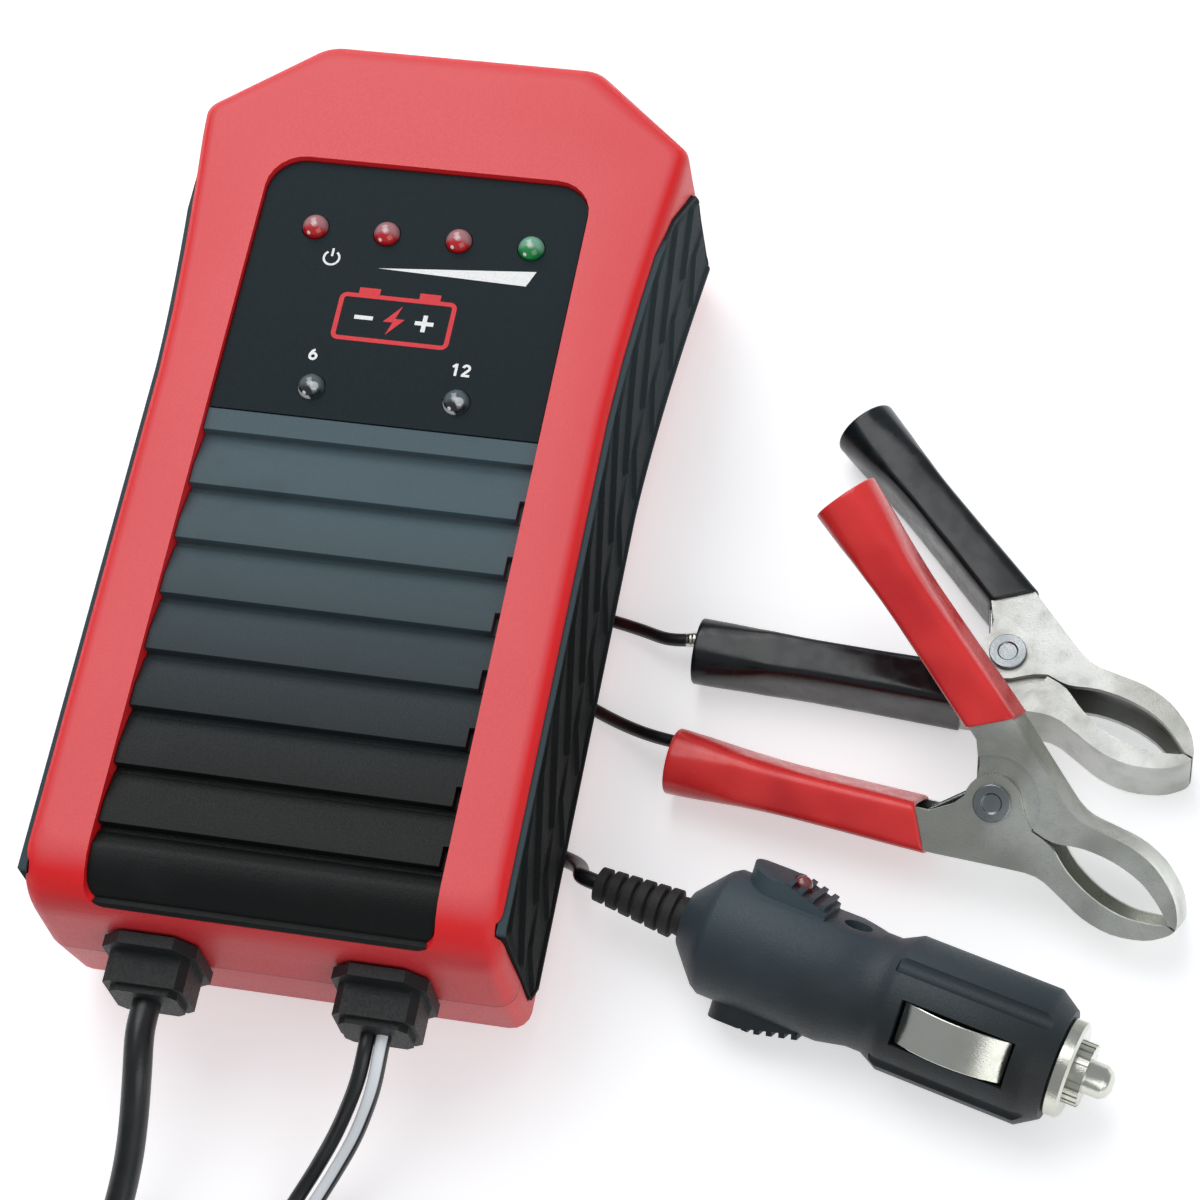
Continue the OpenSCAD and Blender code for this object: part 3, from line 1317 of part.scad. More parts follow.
front_shell();
rear_shell();
front_panel();
label_plate();
grip_left();
grip_right();
charge_lamps();
full_lamp();
voltage_lamps();
lamp_board();
main_board();
transformer_core();
transformer_winding();
bridge_rectifier();
capacitors();
mains_fuse();
heatsink();
power_transistors();
control_chip();
case_screws();
board_screws();
rubber_feet();
mains_gland();
output_gland();
inner_wires();
mains_lead();
mains_lead_coil();
mains_plug_body();
mains_plug_pins();
output_lead();
output_lead_coil();
output_connector();
coil_ties();
adapter_connectors();
black_wire();
red_wire();
black_fixed_jaw();
black_moving_jaw();
black_rivet();
black_spring();
black_fixed_sleeve();
black_moving_sleeve();
red_fixed_jaw();
red_moving_jaw();
red_rivet();
red_spring();
red_fixed_sleeve();
red_moving_sleeve();
plug_top_shell();
plug_bottom_shell();
plug_relief();
plug_upper_contact();
plug_lower_contact();
plug_tip_pin();
plug_tip_spring();
plug_nose_ring();
plug_fuse();
plug_lamp();
plug_screw();
plug_lead();
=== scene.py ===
import bmesh
import bpy
import numpy as np
from math import cos, pi, radians, sin
from mathutils import Matrix


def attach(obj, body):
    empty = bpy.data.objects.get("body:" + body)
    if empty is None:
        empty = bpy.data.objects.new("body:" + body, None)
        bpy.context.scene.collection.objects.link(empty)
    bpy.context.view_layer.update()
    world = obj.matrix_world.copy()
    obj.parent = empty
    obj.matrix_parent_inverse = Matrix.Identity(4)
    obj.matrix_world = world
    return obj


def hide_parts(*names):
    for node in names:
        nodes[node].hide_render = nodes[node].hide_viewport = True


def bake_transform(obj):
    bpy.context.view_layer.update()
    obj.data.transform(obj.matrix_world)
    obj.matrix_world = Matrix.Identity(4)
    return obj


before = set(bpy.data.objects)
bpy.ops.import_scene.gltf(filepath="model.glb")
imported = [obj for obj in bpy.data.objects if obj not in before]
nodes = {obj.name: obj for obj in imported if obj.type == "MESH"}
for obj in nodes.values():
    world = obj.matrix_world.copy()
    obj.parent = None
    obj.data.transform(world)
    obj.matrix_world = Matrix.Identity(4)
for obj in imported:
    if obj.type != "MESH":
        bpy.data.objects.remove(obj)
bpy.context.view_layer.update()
print("frame loaded:", len(nodes), "nodes")

mm = 0.001  # lengths are in mm, but the camera's and the studio's are in metres

cameraView = {
    "place": (0.1344, -0.2373, 0.5024),
    "right": (0.9766, 0.1841, -0.1111),
    "up": (-0.1168, 0.8880, 0.4448),
    "back": (0.1806, -0.4214, 0.8887),
    "lens": 104.58,
    "sensor": 36.0,
    "near": 0.02,
}


def placed(name, data, axes, place):
    # an object at that place, its own x, y and z along the three axes
    made = bpy.data.objects.new(name, data)
    made.matrix_world = Matrix([[*(axis[k] for axis in axes), place[k]] for k in range(3)] + [[0, 0, 0, 1]])
    bpy.context.scene.collection.objects.link(made)
    return made


cameraData = bpy.data.cameras.new("camera")
cameraData.lens = cameraView["lens"]
cameraData.sensor_width = cameraView["sensor"]
cameraData.clip_start = cameraView["near"]
cameraAxes = [cameraView[way] for way in ("right", "up", "back")]
bpy.context.scene.camera = placed("camera", cameraData, cameraAxes, cameraView["place"])
print("camera set")


def unit(v):
    # each vector divided by its own length
    return v / np.linalg.norm(v, axis=-1, keepdims=True)


def smoothStep(x, low, high):
    # 0 below low, 1 above high, and 3t^2 - 2t^3 between
    t = np.clip((np.asarray(x, float) - low) / (high - low), 0, 1)
    return t * t * (3 - 2 * t)


def through(points, steps):
    # a Catmull-Rom curve through the points, with the same number of steps in each stretch
    p = np.asarray(points, float)
    p = np.vstack([2 * p[0] - p[1], p, 2 * p[-1] - p[-2]])
    t = np.linspace(0, 1, steps, endpoint=False)[None, :, None]
    a, b, c, d = (p[k:len(p) - 3 + k, None, :] for k in range(4))
    square, cube = 2 * a - 5 * b + 4 * c - d, 3 * b - a - 3 * c + d
    curve = 0.5 * (2 * b + (c - a) * t + square * t ** 2 + cube * t ** 3)
    return np.vstack([curve.reshape(-1, p.shape[1]), p[-2]])


def runAlong(path):
    # how far each point lies along the path: the sum of the stretches before it
    return np.concatenate([[0], np.cumsum(np.linalg.norm(np.diff(path, axis=0), axis=1))])


def evenly(path, step):
    # the same line with its points a fixed distance apart
    run = runAlong(path)
    at = np.linspace(0, run[-1], max(4, int(round(run[-1] / step)) + 1))
    return np.stack([np.interp(at, run, path[:, k]) for k in range(path.shape[1])], 1)


def eased(path, reach):
    # each point averaged with its neighbours under a raised cosine, the ends kept where they are
    kernel = np.hanning(2 * reach + 3)[1:-1]
    kernel = kernel / kernel.sum()
    padded = np.vstack([2 * path[0] - path[reach:0:-1], path, 2 * path[-1] - path[-2:-reach - 2:-1]])
    out = np.stack([np.convolve(padded[:, k], kernel, "valid") for k in range(path.shape[1])], 1)
    out[0], out[-1] = path[0], path[-1]
    return out


def gridFaces(rows, cols, closedRows, closedCols):
    # quads between neighbouring rows and columns, wrapping where a direction is closed, mapped from 0 to 1
    i = np.arange(rows if closedRows else rows - 1)[:, None]
    j = np.arange(cols if closedCols else cols - 1)[None, :]
    i2, j2 = (i + 1) % rows, (j + 1) % cols
    quads = np.stack([i * cols + j, i * cols + j2, i2 * cols + j2, i2 * cols + j], -1).reshape(-1, 4)
    across, along = cols if closedCols else cols - 1, max(rows - 1, 1)
    u0, v0 = np.broadcast_arrays(j / across, i / along)
    u1, v1 = u0 + 1 / across, v0 + 1 / along
    corners = [np.stack(pair, -1) for pair in ((u0, v0), (u1, v0), (u1, v1), (u0, v1))]
    return quads, np.stack(corners, -2).reshape(-1, 2)


def makePiece(name, grids, materials, body="charger", sharp=40):
    # one mesh of grids, each a dictionary: points (rows, cols, 3), closedRows, closedCols, capped and slot
    points, quads, caps, slots, uvs = [], [], [], [], []
    start = 0
    for grid in grids:
        p = np.asarray(grid["points"], float)
        rows, cols = p.shape[:2]
        slot = grid.get("slot", 0)
        faces, uv = gridFaces(rows, cols, grid.get("closedRows", False), grid.get("closedCols", False))
        points.append(p.reshape(-1, 3))
        quads.append(faces + start)
        slots.append(np.full(len(faces), slot))
        uvs.append(uv)
        if grid.get("capped"):
            ring = np.arange(cols) + start
            caps += [(ring[::-1].tolist(), slot), ((ring + (rows - 1) * cols).tolist(), slot)]
        start += rows * cols
    mesh = bpy.data.meshes.new(name)
    faces = np.vstack(quads).tolist() + [cap for cap, _ in caps]
    mesh.from_pydata((np.vstack(points) * mm).tolist(), [], faces)
    flat = np.vstack(uvs)
    full = np.zeros((len(mesh.loops), 2))
    full[:len(flat)] = flat
    mesh.uv_layers.new(name="surface").data.foreach_set("uv", full.ravel())
    slots = np.concatenate(slots + [[slot] for _, slot in caps])
    mesh.polygons.foreach_set("material_index", slots.astype(np.int32))
    work = bmesh.new()
    work.from_mesh(mesh)
    bmesh.ops.recalc_face_normals(work, faces=work.faces)
    work.to_mesh(mesh)
    work.free()
    return finishPiece(name, mesh, materials, body, sharp)


def finishPiece(name, mesh, materials, body, sharp):
    # smooth faces, creased where they fold by more than sharp degrees, riding on a body where one is given
    mesh.polygons.foreach_set("use_smooth", np.ones(len(mesh.polygons), bool))
    mesh.set_sharp_from_angle(angle=radians(sharp))
    for material in materials:
        mesh.materials.append(material)
    mesh.update()
    piece = bpy.data.objects.new(name, mesh)
    bpy.context.scene.collection.objects.link(piece)
    if body:
        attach(piece, body)
    return piece


edgeCare = {
    "doubles": 0.001,  # points nearer to each other than this become one
    "flat": 0.3,  # faces that fold by less than this many degrees become one
    "sharp": 35,  # edges that fold by more than this many degrees are rounded
    "others": 0.3,  # share of the rounding that edges off the rim get
}


def softCopy(name, node, material, bevel, body="charger", segments=2, rim=None):
    # a CAD node's surface with its doubles merged, its flat faces joined and its edges rounded by bevel mm;
    # rim picks the edges, by their midpoints in mm, that get the full bevel where the rest get a share of it
    mesh = nodes[node].data.copy()
    mesh.name = name
    mesh.materials.clear()
    work = bmesh.new()
    work.from_mesh(mesh)
    bmesh.ops.remove_doubles(work, verts=work.verts, dist=edgeCare["doubles"] * mm)
    bmesh.ops.dissolve_limit(work, angle_limit=radians(edgeCare["flat"]), verts=work.verts, edges=work.edges)
    work.to_mesh(mesh)
    work.free()
    if "custom_normal" in mesh.attributes:
        mesh.attributes.remove(mesh.attributes["custom_normal"])
    piece = finishPiece(name, mesh, [material], body, edgeCare["sharp"])
    rounding = piece.modifiers.new("rounding", "BEVEL")
    rounding.width = bevel * mm
    rounding.segments = segments
    rounding.limit_method = "ANGLE"
    rounding.angle_limit = radians(edgeCare["sharp"])
    if rim:
        p = np.empty(len(mesh.vertices) * 3)
        mesh.vertices.foreach_get("co", p)
        ends = np.empty(len(mesh.edges) * 2, int)
        mesh.edges.foreach_get("vertices", ends)
        middle = p.reshape(-1, 3)[ends.reshape(-1, 2)].mean(1) / mm
        folded = np.zeros(len(mesh.edges), bool)
        mesh.attributes["sharp_edge"].data.foreach_get("value", folded)
        share = np.where(folded, np.where(rim(middle), 1.0, edgeCare["others"]), 0.0)
        weight = mesh.attributes.new("bevel_weight_edge", "FLOAT", "EDGE")
        weight.data.foreach_set("value", share.astype(np.float32))
        rounding.limit_method = "WEIGHT"
        rounding.harden_normals = True
        rounding.miter_outer = "MITER_ARC"
    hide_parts(node)
    return piece


def sideways(path):
    # at each point of a path, the level way across it and the way that is square to both
    ahead = unit(np.gradient(path, axis=0))
    across = unit(np.cross(ahead, [0, 0, 1.0]))
    return across, np.cross(across, ahead)


def tubeGrid(path, halfWide, halfHigh, sides):
    # centre + halfWide * cos(a) * across + halfHigh * sin(a) * up along the path
    across, up = sideways(path)
    a = 2 * pi * (np.arange(sides) + 0.5) / sides
    wide = np.broadcast_to(halfWide, len(path))[:, None, None]
    high = np.broadcast_to(halfHigh, len(path))[:, None, None]
    ring = wide * np.cos(a)[None, :, None] * across[:, None] + high * np.sin(a)[None, :, None] * up[:, None]
    return {"points": path[:, None] + ring, "closedCols": True, "capped": True}


def colour(red, green, blue):
    # a display colour of 0 to 255 as linear light
    c = np.array([red, green, blue]) / 255
    return (*np.where(c <= 0.04045, c / 12.92, ((c + 0.055) / 1.055) ** 2.4).tolist(), 1.0)


class Socket:
    # a shader socket on which plain arithmetic adds Math nodes
    def __init__(self, paint, out):
        self.paint, self.out = paint, out

    def maths(self, operation, *values):
        return self.paint.node("ShaderNodeMath", {"operation": operation}, dict(enumerate(values)))

    def __add__(self, other):
        return self.maths("ADD", self, other)

    def __radd__(self, other):
        return self.maths("ADD", other, self)

    def __sub__(self, other):
        return self.maths("SUBTRACT", self, other)

    def __rsub__(self, other):
        return self.maths("SUBTRACT", other, self)

    def __mul__(self, other):
        return self.maths("MULTIPLY", self, other)

    def __rmul__(self, other):
        return self.maths("MULTIPLY", other, self)

    def __truediv__(self, other):
        return self.maths("DIVIDE", self, other)

    def __abs__(self):
        return self.maths("ABSOLUTE", self)


class Paint:
    # a node tree, a new material's unless one is given, with the few kinds of node that the finishes use
    def __init__(self, name, tree=None):
        if tree is None:
            self.material = bpy.data.materials.new(name)
            self.material.use_nodes = True
            tree = self.material.node_tree
        self.tree = tree
        self.tree.nodes.clear()

    def node(self, kind, settings=None, inputs=None, output=0):
        # any node: its settings first, then the values or links of its sockets
        made = self.tree.nodes.new(kind)
        for key, value in (settings or {}).items():
            setattr(made, key, value)
        for key, value in (inputs or {}).items():
            if isinstance(value, Socket):
                self.tree.links.new(value.out, made.inputs[key])
            else:
                made.inputs[key].default_value = value
        return Socket(self, made.outputs[output])

    def place(self):
        # the point's place on the object, in metres
        return self.node("ShaderNodeTexCoord", output="Object")

    def part(self, vector, axis):
        # the X, Y or Z of a vector
        return self.node("ShaderNodeSeparateXYZ", inputs={0: vector}, output="XYZ".index(axis))

    def normal(self, axis):
        # how far the surface faces along an axis, from -1 to 1
        return self.part(self.node("ShaderNodeNewGeometry", output="Normal"), axis)

    def ray(self, kind):
        # 1 for rays of that kind, otherwise 0
        return self.node("ShaderNodeLightPath", output="Is " + kind + " Ray")

    def noise(self, size, detail=2.0, rough=0.5, stretch=None):
        # a grain whose lumps are about size mm across, squeezed by stretch along each axis where it is given
        vector = self.place()
        if stretch:
            vector = self.node("ShaderNodeMapping", inputs={"Vector": vector, "Scale": stretch})
        return self.node("ShaderNodeTexNoise", inputs={
            "Vector": vector, "Scale": 1 / (size * mm), "Detail": detail, "Roughness": rough})

    def between(self, value, low, high, first=0.0, last=1.0):
        # first below low, last above high, and a smooth step between
        return self.node("ShaderNodeMapRange", {"interpolation_type": "SMOOTHSTEP"}, {
            0: value, 1: low, 2: high, 3: first, 4: last})

    def blend(self, factor, first, second):
        # one colour at factor 0, the other at 1
        return self.node("ShaderNodeMix", {"data_type": "RGBA"}, {0: factor, 6: first, 7: second}, output=2)

    def bump(self, height, depth, under=None):
        # height of 0 to 1 as a relief of depth mm, over the relief under it
        inputs = {"Height": height, "Distance": depth * mm, "Strength": 1.0}
        if under is not None:
            inputs["Normal"] = under
        return self.node("ShaderNodeBump", inputs=inputs)

    def close(self, shader, kind="ShaderNodeOutputMaterial"):
        # the tree's output, fed by that shader
        self.tree.links.new(shader.out, self.tree.nodes.new(kind).inputs[0])

    def finish(self, **sockets):
        # the whole material; sockets are named as on the shader, with _ for a space
        named = {key.replace("_", " "): value for key, value in sockets.items()}
        self.close(self.node("ShaderNodeBsdfPrincipled", inputs=named))
        return self.material


leadFinish = {"body": (20, 23, 24), "worn": (30, 34, 37)}
coreFinish = {
    "body": (20, 22, 23), "worn": (20, 22, 23), "stripe": (240, 244, 248),
    "at": 0.2, "half": 0.16,  # the stripe's middle and half width, in turns round the core
}


def leadMaterial(name, finish):
    # soft PVC: scuffs and a fine extruded grain, and a stripe along the core where the finish has one
    paint = Paint(name)
    around = paint.part(paint.node("ShaderNodeTexCoord", output="UV"), "X")
    scuffs = paint.noise(7, 3)
    tone = paint.blend(paint.between(scuffs, 0.45, 0.75), colour(*finish["body"]), colour(*finish["worn"]))
    if "stripe" in finish:
        half = finish["half"]
        inStripe = paint.between(abs(around - finish["at"]), half * 0.8, half, 1, 0)
        tone = paint.blend(inStripe, tone, colour(*finish["stripe"]))
    relief = paint.bump(paint.noise(0.5, 2), 0.03, paint.bump(scuffs, 0.12))
    return paint.finish(
        Base_Color=tone, Roughness=paint.between(scuffs, 0.3, 0.7, 0.3, 0.44), Normal=relief,
        Coat_Weight=0.12, Coat_Roughness=0.25)


leadBlack = leadMaterial("lead vinyl", leadFinish)
coreStriped = leadMaterial("core vinyl striped", coreFinish)

# each lead's route, and its coil: centre, outer radius, pitch between turns, rise between
# layers, turns in a layer, layers, starting bearing, way of turning and height of the lowest turns
mainsLead = {
    "route": [
        (-17.6, -84.9, 23.8), (-17.6, -89.3, 23.8), (-17, -95, 22), (-17.2, -100, 17.8),
        (-17.9, -104.5, 13), (-18.9, -109, 8.8), (-20, -114.5, 5.6), (-20.6, -121, 3.9), (-20.8, -130, 3.2),
        (-20.8, -140, 3.2), (-20.8, -149.6, 3.2)],
    "coil": {"centre": (-52.7375, -154), "out": 31.9375, "pitch": 5, "rise": 5, "turns": 2.375,
             "layers": 4, "from": 0, "way": -1, "low": 3.2},
    "tail": [
        (-84.675, -149.6, 18.2), (-84.675, -145.2, 18.2), (-84.675, -137.6, 15.6), (-84.675, -131.6, 12.8),
        (-84.675, -125.6, 10.2), (-84.675, -119.6, 8.6), (-84.675, -113.6, 6.85), (-84.675, -107.6, 6.85)],
    "thick": 4.4, "metres": 1.68, "steps": 12,
}
blackCore = {
    "route": [
        (16.4, -84.9, 23.8), (16.4, -87.2, 23.8), (16, -90, 22), (15, -93, 19.4), (12.6, -97, 14),
        (9.6, -101, 8.6), (6.6, -105.5, 4.8), (3.8, -111, 2.6), (1.6, -118, 2.2), (0.2, -126, 2.15),
        (-0.35, -134, 2.15), (-0.35, -141.2, 2.15)],
    "thick": 2.3, "steps": 10,
}
stripedCore = {
    "route": [
        (18.8, -84.9, 23.8), (18.8, -87.2, 23.8), (18.5, -90, 22), (17.8, -93, 19.6), (15.6, -97.5, 14.4),
        (12.4, -102, 9), (9.2, -106.8, 5), (6.2, -112.4, 2.7), (4, -119, 2.2), (2.6, -126.5, 2.15),
        (2, -134, 2.15), (2, -141.2, 2.15)],
    "thick": 2.3, "steps": 10,
}
outputLead = {
    "start": (0.85, -141.2, 2.15),
    "coil": {"centre": (33.975, -145.8), "out": 33.125, "pitch": 5.2, "rise": 2.9, "turns": 3.125,
             "layers": 2, "from": 180, "way": 1, "low": 2.15},
    "tail": [
        (38.575, -178.925, 5.05), (43.175, -178.925, 5.05), (47.575, -180.125, 4.55),
        (52.075, -182.525, 3.95), (56.575, -184.725, 3.45), (61.575, -185.725, 3.3),
        (66.175, -185.725, 3.3)],
    "width": 4.6, "depth": 2.3, "metres": 1.0, "steps": 12,
}
clipLeads = {
    "thick": 2.1, "steps": 8,
    "black": [
        (46.4, -6.9, 5), (41.5, -5.2, 3.2), (36.4, -3.6, 1.9), (30.5, -2.4, 1.05), (24, -2.6, 1.05),
        (17, -4, 1.05), (10, -4.4, 1.05), (4, -1.6, 1.05), (1.4, 4, 1.05), (3.6, 10, 1.05), (9, 14.5, 1.05),
        (12, 20, 1.05), (9.4, 26, 1.05), (3, 30, 1.05), (-3.4, 34.6, 1.05), (-6, 41, 1.05),
        (-3.6, 47.5, 1.05), (-1.4, 54, 1.05), (-3.4, 61, 1.05), (-6.4, 67.6, 1.05), (-7.4, 73.6, 1.05),
        (-7, 79, 1.05), (-5.6, 82.1, 2.2), (-3.6, 82.8, 3.3), (-1.5, 82.8, 3.3)],
    "red": [
        (50.8, -25.4, 7.2), (45.6, -24, 5.6), (41.2, -22.1, 3.7), (37.4, -20.2, 2.2), (33.8, -18.4, 1.3),
        (29, -16.9, 1.05), (23.5, -16, 1.05), (16.5, -15.6, 1.05), (9.5, -15, 1.05), (2.6, -13, 1.05),
        (-3.4, -9, 1.05), (-7, -3, 1.05), (-6.4, 4, 1.05), (-2.6, 10.6, 1.05), (0.2, 17, 1.05),
        (-2.4, 23, 1.05), (-9, 28.4, 1.05), (-13.4, 34.6, 1.05), (-14, 42, 1.05), (-11, 49, 1.05),
        (-9.6, 56, 1.05), (-9.8, 63, 1.05), (-10.6, 70, 1.05), (-10.4, 77, 1.05), (-8.6, 82.4, 1.05),
        (-6.4, 84.8, 2.2), (-3.9, 85.2, 3.3), (-1.5, 85.2, 3.3)],
}
plugLead = {
    "route": [
        (43.1, -51.6, 10.6), (40.58, -50.96, 10.6), (39.8, -49.6, 8.2), (39.1, -47.7, 5.4), (37.6, -46, 3),
        (34.6, -44.7, 1.7), (27.5, -42, 1.3), (19, -39.6, 1.3), (11, -38.8, 1.3), (3, -37, 1.3),
        (-5, -33.4, 1.3), (-12, -28.4, 1.3), (-17.6, -21.8, 1.3), (-20, -13.6, 1.3), (-18.4, -5.4, 1.3),
        (-15, 2.4, 1.3), (-14.6, 10.6, 1.3), (-18.4, 18, 1.3), (-23, 25, 1.3), (-24.6, 33, 1.3),
        (-22, 41, 1.3), (-17.6, 48.6, 1.3), (-15.6, 56.8, 1.3), (-15.4, 64.6, 1.3), (-15.8, 71.6, 1.3),
        (-14, 76.6, 1.3), (-12.4, 80.2, 1.8), (-13.8, 83.2, 2.6), (-16.8, 84, 3.3), (-19.5, 84, 3.3)],
    "thick": 2.6, "steps": 8,
}


def coilPath(coil):
    # a spiral that winds in and out between its layers, each a rise above the last
    t = np.linspace(0, coil["turns"] * coil["layers"], int(coil["turns"] * coil["layers"] * 72) + 1)
    m = t % (2 * coil["turns"])
    q = coil["out"] - coil["pitch"] * np.minimum(m, 2 * coil["turns"] - m)
    a = np.radians(coil["from"]) + coil["way"] * 2 * pi * t
    climbs = [np.clip((t - k * coil["turns"] + 0.25) * 2, 0, 1) for k in range(1, coil["layers"])]
    z = coil["low"] + coil["rise"] * np.sum(climbs, axis=0)
    return np.stack([coil["centre"][0] + q * np.cos(a), coil["centre"][1] + q * np.sin(a), z], 1)


def addCord(name, path, thick, material, nodeNames, exit,
            sides=16, twin=None):
    # a tube along the path; twin is the depth of a flat pair, whose section is two circles side by side
    path = eased(evenly(path, min(1.2, thick * 0.5)), 2)
    grid = tubeGrid(path, thick / 2, thick / 2, sides)
    if twin:
        a = np.radians(np.linspace(-148, 148, sides // 2))
        lobe = np.stack([twin / 2 * (1 + np.cos(a)), twin / 2 * np.sin(a)], 1)
        section = np.vstack([lobe, -lobe])
        across, up = sideways(path)
        ring = section[None, :, :1] * across[:, None] + section[None, :, 1:] * up[:, None]
        grid["points"] = path[:, None] + ring
    piece = makePiece(name, [grid], [material], sharp=60)
    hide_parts(*nodeNames)
    [v * mm for v in exit]
    thick * mm


# each clip's place: its rivet, the way along its jaws, the way towards its upper handle, and how far its
# sleeves are pushed down its handles
blackTurn = radians(24.9)  # the black clip's turn from the case's right towards its lead end
clips = {
    "black": {"rivet": (99.5, -5, 5.9), "along": (cos(blackTurn), -sin(blackTurn), 0),
              "across": (sin(blackTurn), cos(blackTurn), 0), "slide": 0},
    "red": {"rivet": (101.46, -29.75, 11.48), "along": (0.8833, -0.4427, -0.1547),
            "across": (0.4555, 0.732, 0.5068), "slide": 2.8},
}
for clip in clips.values():
    along = unit(np.array(clip["along"]))
    across = np.array(clip["across"])
    across = unit(across - along * along.dot(across))
    clip["axes"] = np.stack([along, across, np.cross(along, across)])


def inClip(clip, points, lower=False):
    # points of a clip's own frame, x along its jaws, y towards its upper handle, z along its rivet
    p = np.array(points, float)
    if lower:
        p[..., 1] *= -1
    return np.array(clip["rivet"]) + p @ clip["axes"]


# where a handle starts from the rivet, and how far each mm of it runs back along the jaws and away from them
handleShape = {"shoulder": (-4.7, 8.9), "along": 0.93, "away": 0.367}


def onHandle(s, t):
    # s mm down a handle from its shoulder and t mm out from its middle
    s, t = np.asarray(s, float), np.asarray(t, float)
    along, away = handleShape["along"], handleShape["away"]
    x, y = handleShape["shoulder"]
    return x - along * s + away * t, y + away * s + along * t


# the lead's end, its bend and its way out, in mm down the handle, and its offsets from the handle's middle
wireInSleeve = {"end": 30, "bend": 31.3, "out": 35.5, "off": (1.9, 1.9, -0.6, -3.05)}


def wireStart(clip):
    # the lead's first points, inside the lower handle's sleeve and towards its far mouth
    out = wireInSleeve["out"] + clip["slide"]
    bend = wireInSleeve["bend"]
    x, y = onHandle([wireInSleeve["end"], bend, (bend + out) / 2, out], wireInSleeve["off"])
    return inClip(clip, np.stack([x, y, 0 * x], 1), lower=True)


mainsPath = np.vstack([
    through(mainsLead["route"], mainsLead["steps"]), coilPath(mainsLead["coil"]),
    through(mainsLead["tail"], mainsLead["steps"])])
addCord("mainsCord", mainsPath, mainsLead["thick"], leadBlack, ["mains_lead", "mains_lead_coil"],
        mainsLead["route"][0])
for pieceName, core, finish, nodeNames in (
        ("blackCoreCord", blackCore, leadBlack, ["output_lead"]),
        ("stripedCoreCord", stripedCore, coreStriped, [])):
    addCord(pieceName, through(core["route"], core["steps"]), core["thick"], finish, nodeNames,
            core["route"][0])
twinPath = np.vstack([
    [outputLead["start"]], coilPath(outputLead["coil"]), through(outputLead["tail"], outputLead["steps"])])
addCord("outputCord", twinPath, outputLead["width"], leadBlack, ["output_lead_coil"],
        outputLead["start"], sides=20,
        twin=outputLead["depth"])
for tint in ("black", "red"):
    points = np.vstack([wireStart(clips[tint]), clipLeads[tint]])
    addCord(tint + "ClipCord", through(points, clipLeads["steps"]), clipLeads["thick"], leadBlack,
            [tint + "_wire"], points[0])
addCord("plugCord", through(plugLead["route"], plugLead["steps"]), plugLead["thick"], leadBlack,
        ["plug_lead"], plugLead["route"][0])
print("cords made")


caseFinish = {
    # top is the flats' painted sheen, end the painted shaded tone of the end walls, rim the painted highlight
    # on the window's edge and groove the painted shade in the parting groove
    "top": (228, 78, 83), "edge": (238, 28, 32), "end": (214, 52, 57), "rim": (255, 44, 50),
    "faded": (205, 62, 66), "groove": (92, 12, 16), "grain": 0.32, "rough": (0.36, 0.5),
    "seam": 20.2,  # the height of the parting groove
    "window": (27.3, -56, 54.2),  # half its width, its near end and its far end
}


def caseMaterial(finish):
    # red ABS with a fine spark grain, with a painted sheen making its flats paler than its rolled edges, a
    # painted shaded tone on its end walls, a painted highlight on the window's edge and painted shade in its
    # parting groove
    paint = Paint("red moulded case")
    place = paint.place()
    x, y, z = (paint.part(place, axis) / mm for axis in "XYZ")
    half, near, far = finish["window"]
    # painted sheen on the flats, and painted shade on the walls that face the lead end
    flatSheen = paint.between(paint.normal("Z"), 0.82, 0.992)
    endShade = paint.between(paint.normal("Y"), -0.98, -0.75, 1, 0)
    inWindow = paint.between(abs(x), half, half + 0.1, 1, 0) * paint.between(y, near, near + 0.1) \
        * paint.between(y, far, far + 0.1, 1, 0)
    # painted highlight on the window's edge
    windowRimHighlight = inWindow * paint.between(paint.normal("Z"), 0.97, 0.998, 1, 0)
    # painted shade in the parting groove
    grooveShade = paint.between(abs(z - finish["seam"]), 0.1, 0.22, 0.8, 0)
    isFaded = paint.between(paint.noise(38, 2), 0.3, 0.7, 0, 0.14)
    tone = paint.blend(flatSheen, colour(*finish["edge"]), colour(*finish["top"]))
    for mask, tint in ((endShade, "end"), (windowRimHighlight, "rim"), (isFaded, "faded"), (grooveShade, "groove")):
        tone = paint.blend(mask, tone, colour(*finish[tint]))
    grain = paint.noise(finish["grain"], 3, 0.65)
    return paint.finish(
        Base_Color=tone, Roughness=paint.between(grain, 0.3, 0.7, *finish["rough"]),
        Normal=paint.bump(grain, 0.045, paint.bump(paint.noise(26, 1), 0.5)), Specular_IOR_Level=0.42)


# the tones at the two ends of a run along the case, whose paler back end is a painted reflection, and in worn
# patches, and the grain's size and depth
panelFinish = {"front": (20, 22, 22), "back": (76, 94, 101), "worn": (44, 50, 52), "run": (-56, -2),
               "grain": 0.28, "depth": 0.05, "rough": (0.36, 0.5), "gloss": 0.16}
labelFinish = {"front": (22, 34, 38), "back": (25, 38, 42), "worn": (25, 38, 42), "run": (0, 52),
               "grain": 0.4, "depth": 0.03, "rough": (0.44, 0.52), "gloss": 0.09}
gripFinish = {"front": (30, 33, 33), "back": (58, 68, 71), "worn": (58, 68, 71), "run": (-30, 50),
              "grain": 0.35, "depth": 0.06, "rough": (0.62, 0.78), "gloss": 0.05,
              "rim": (70, 86, 92), "rimFrom": 39.2}  # the tone of the painted highlight along the top rim, and the height where it starts
glandFinish = {"front": (22, 25, 24), "back": (32, 35, 36), "worn": (32, 35, 36), "run": (-92, -76),
               "grain": 0.4, "depth": 0.09, "rough": (0.42, 0.58), "gloss": 0.3}
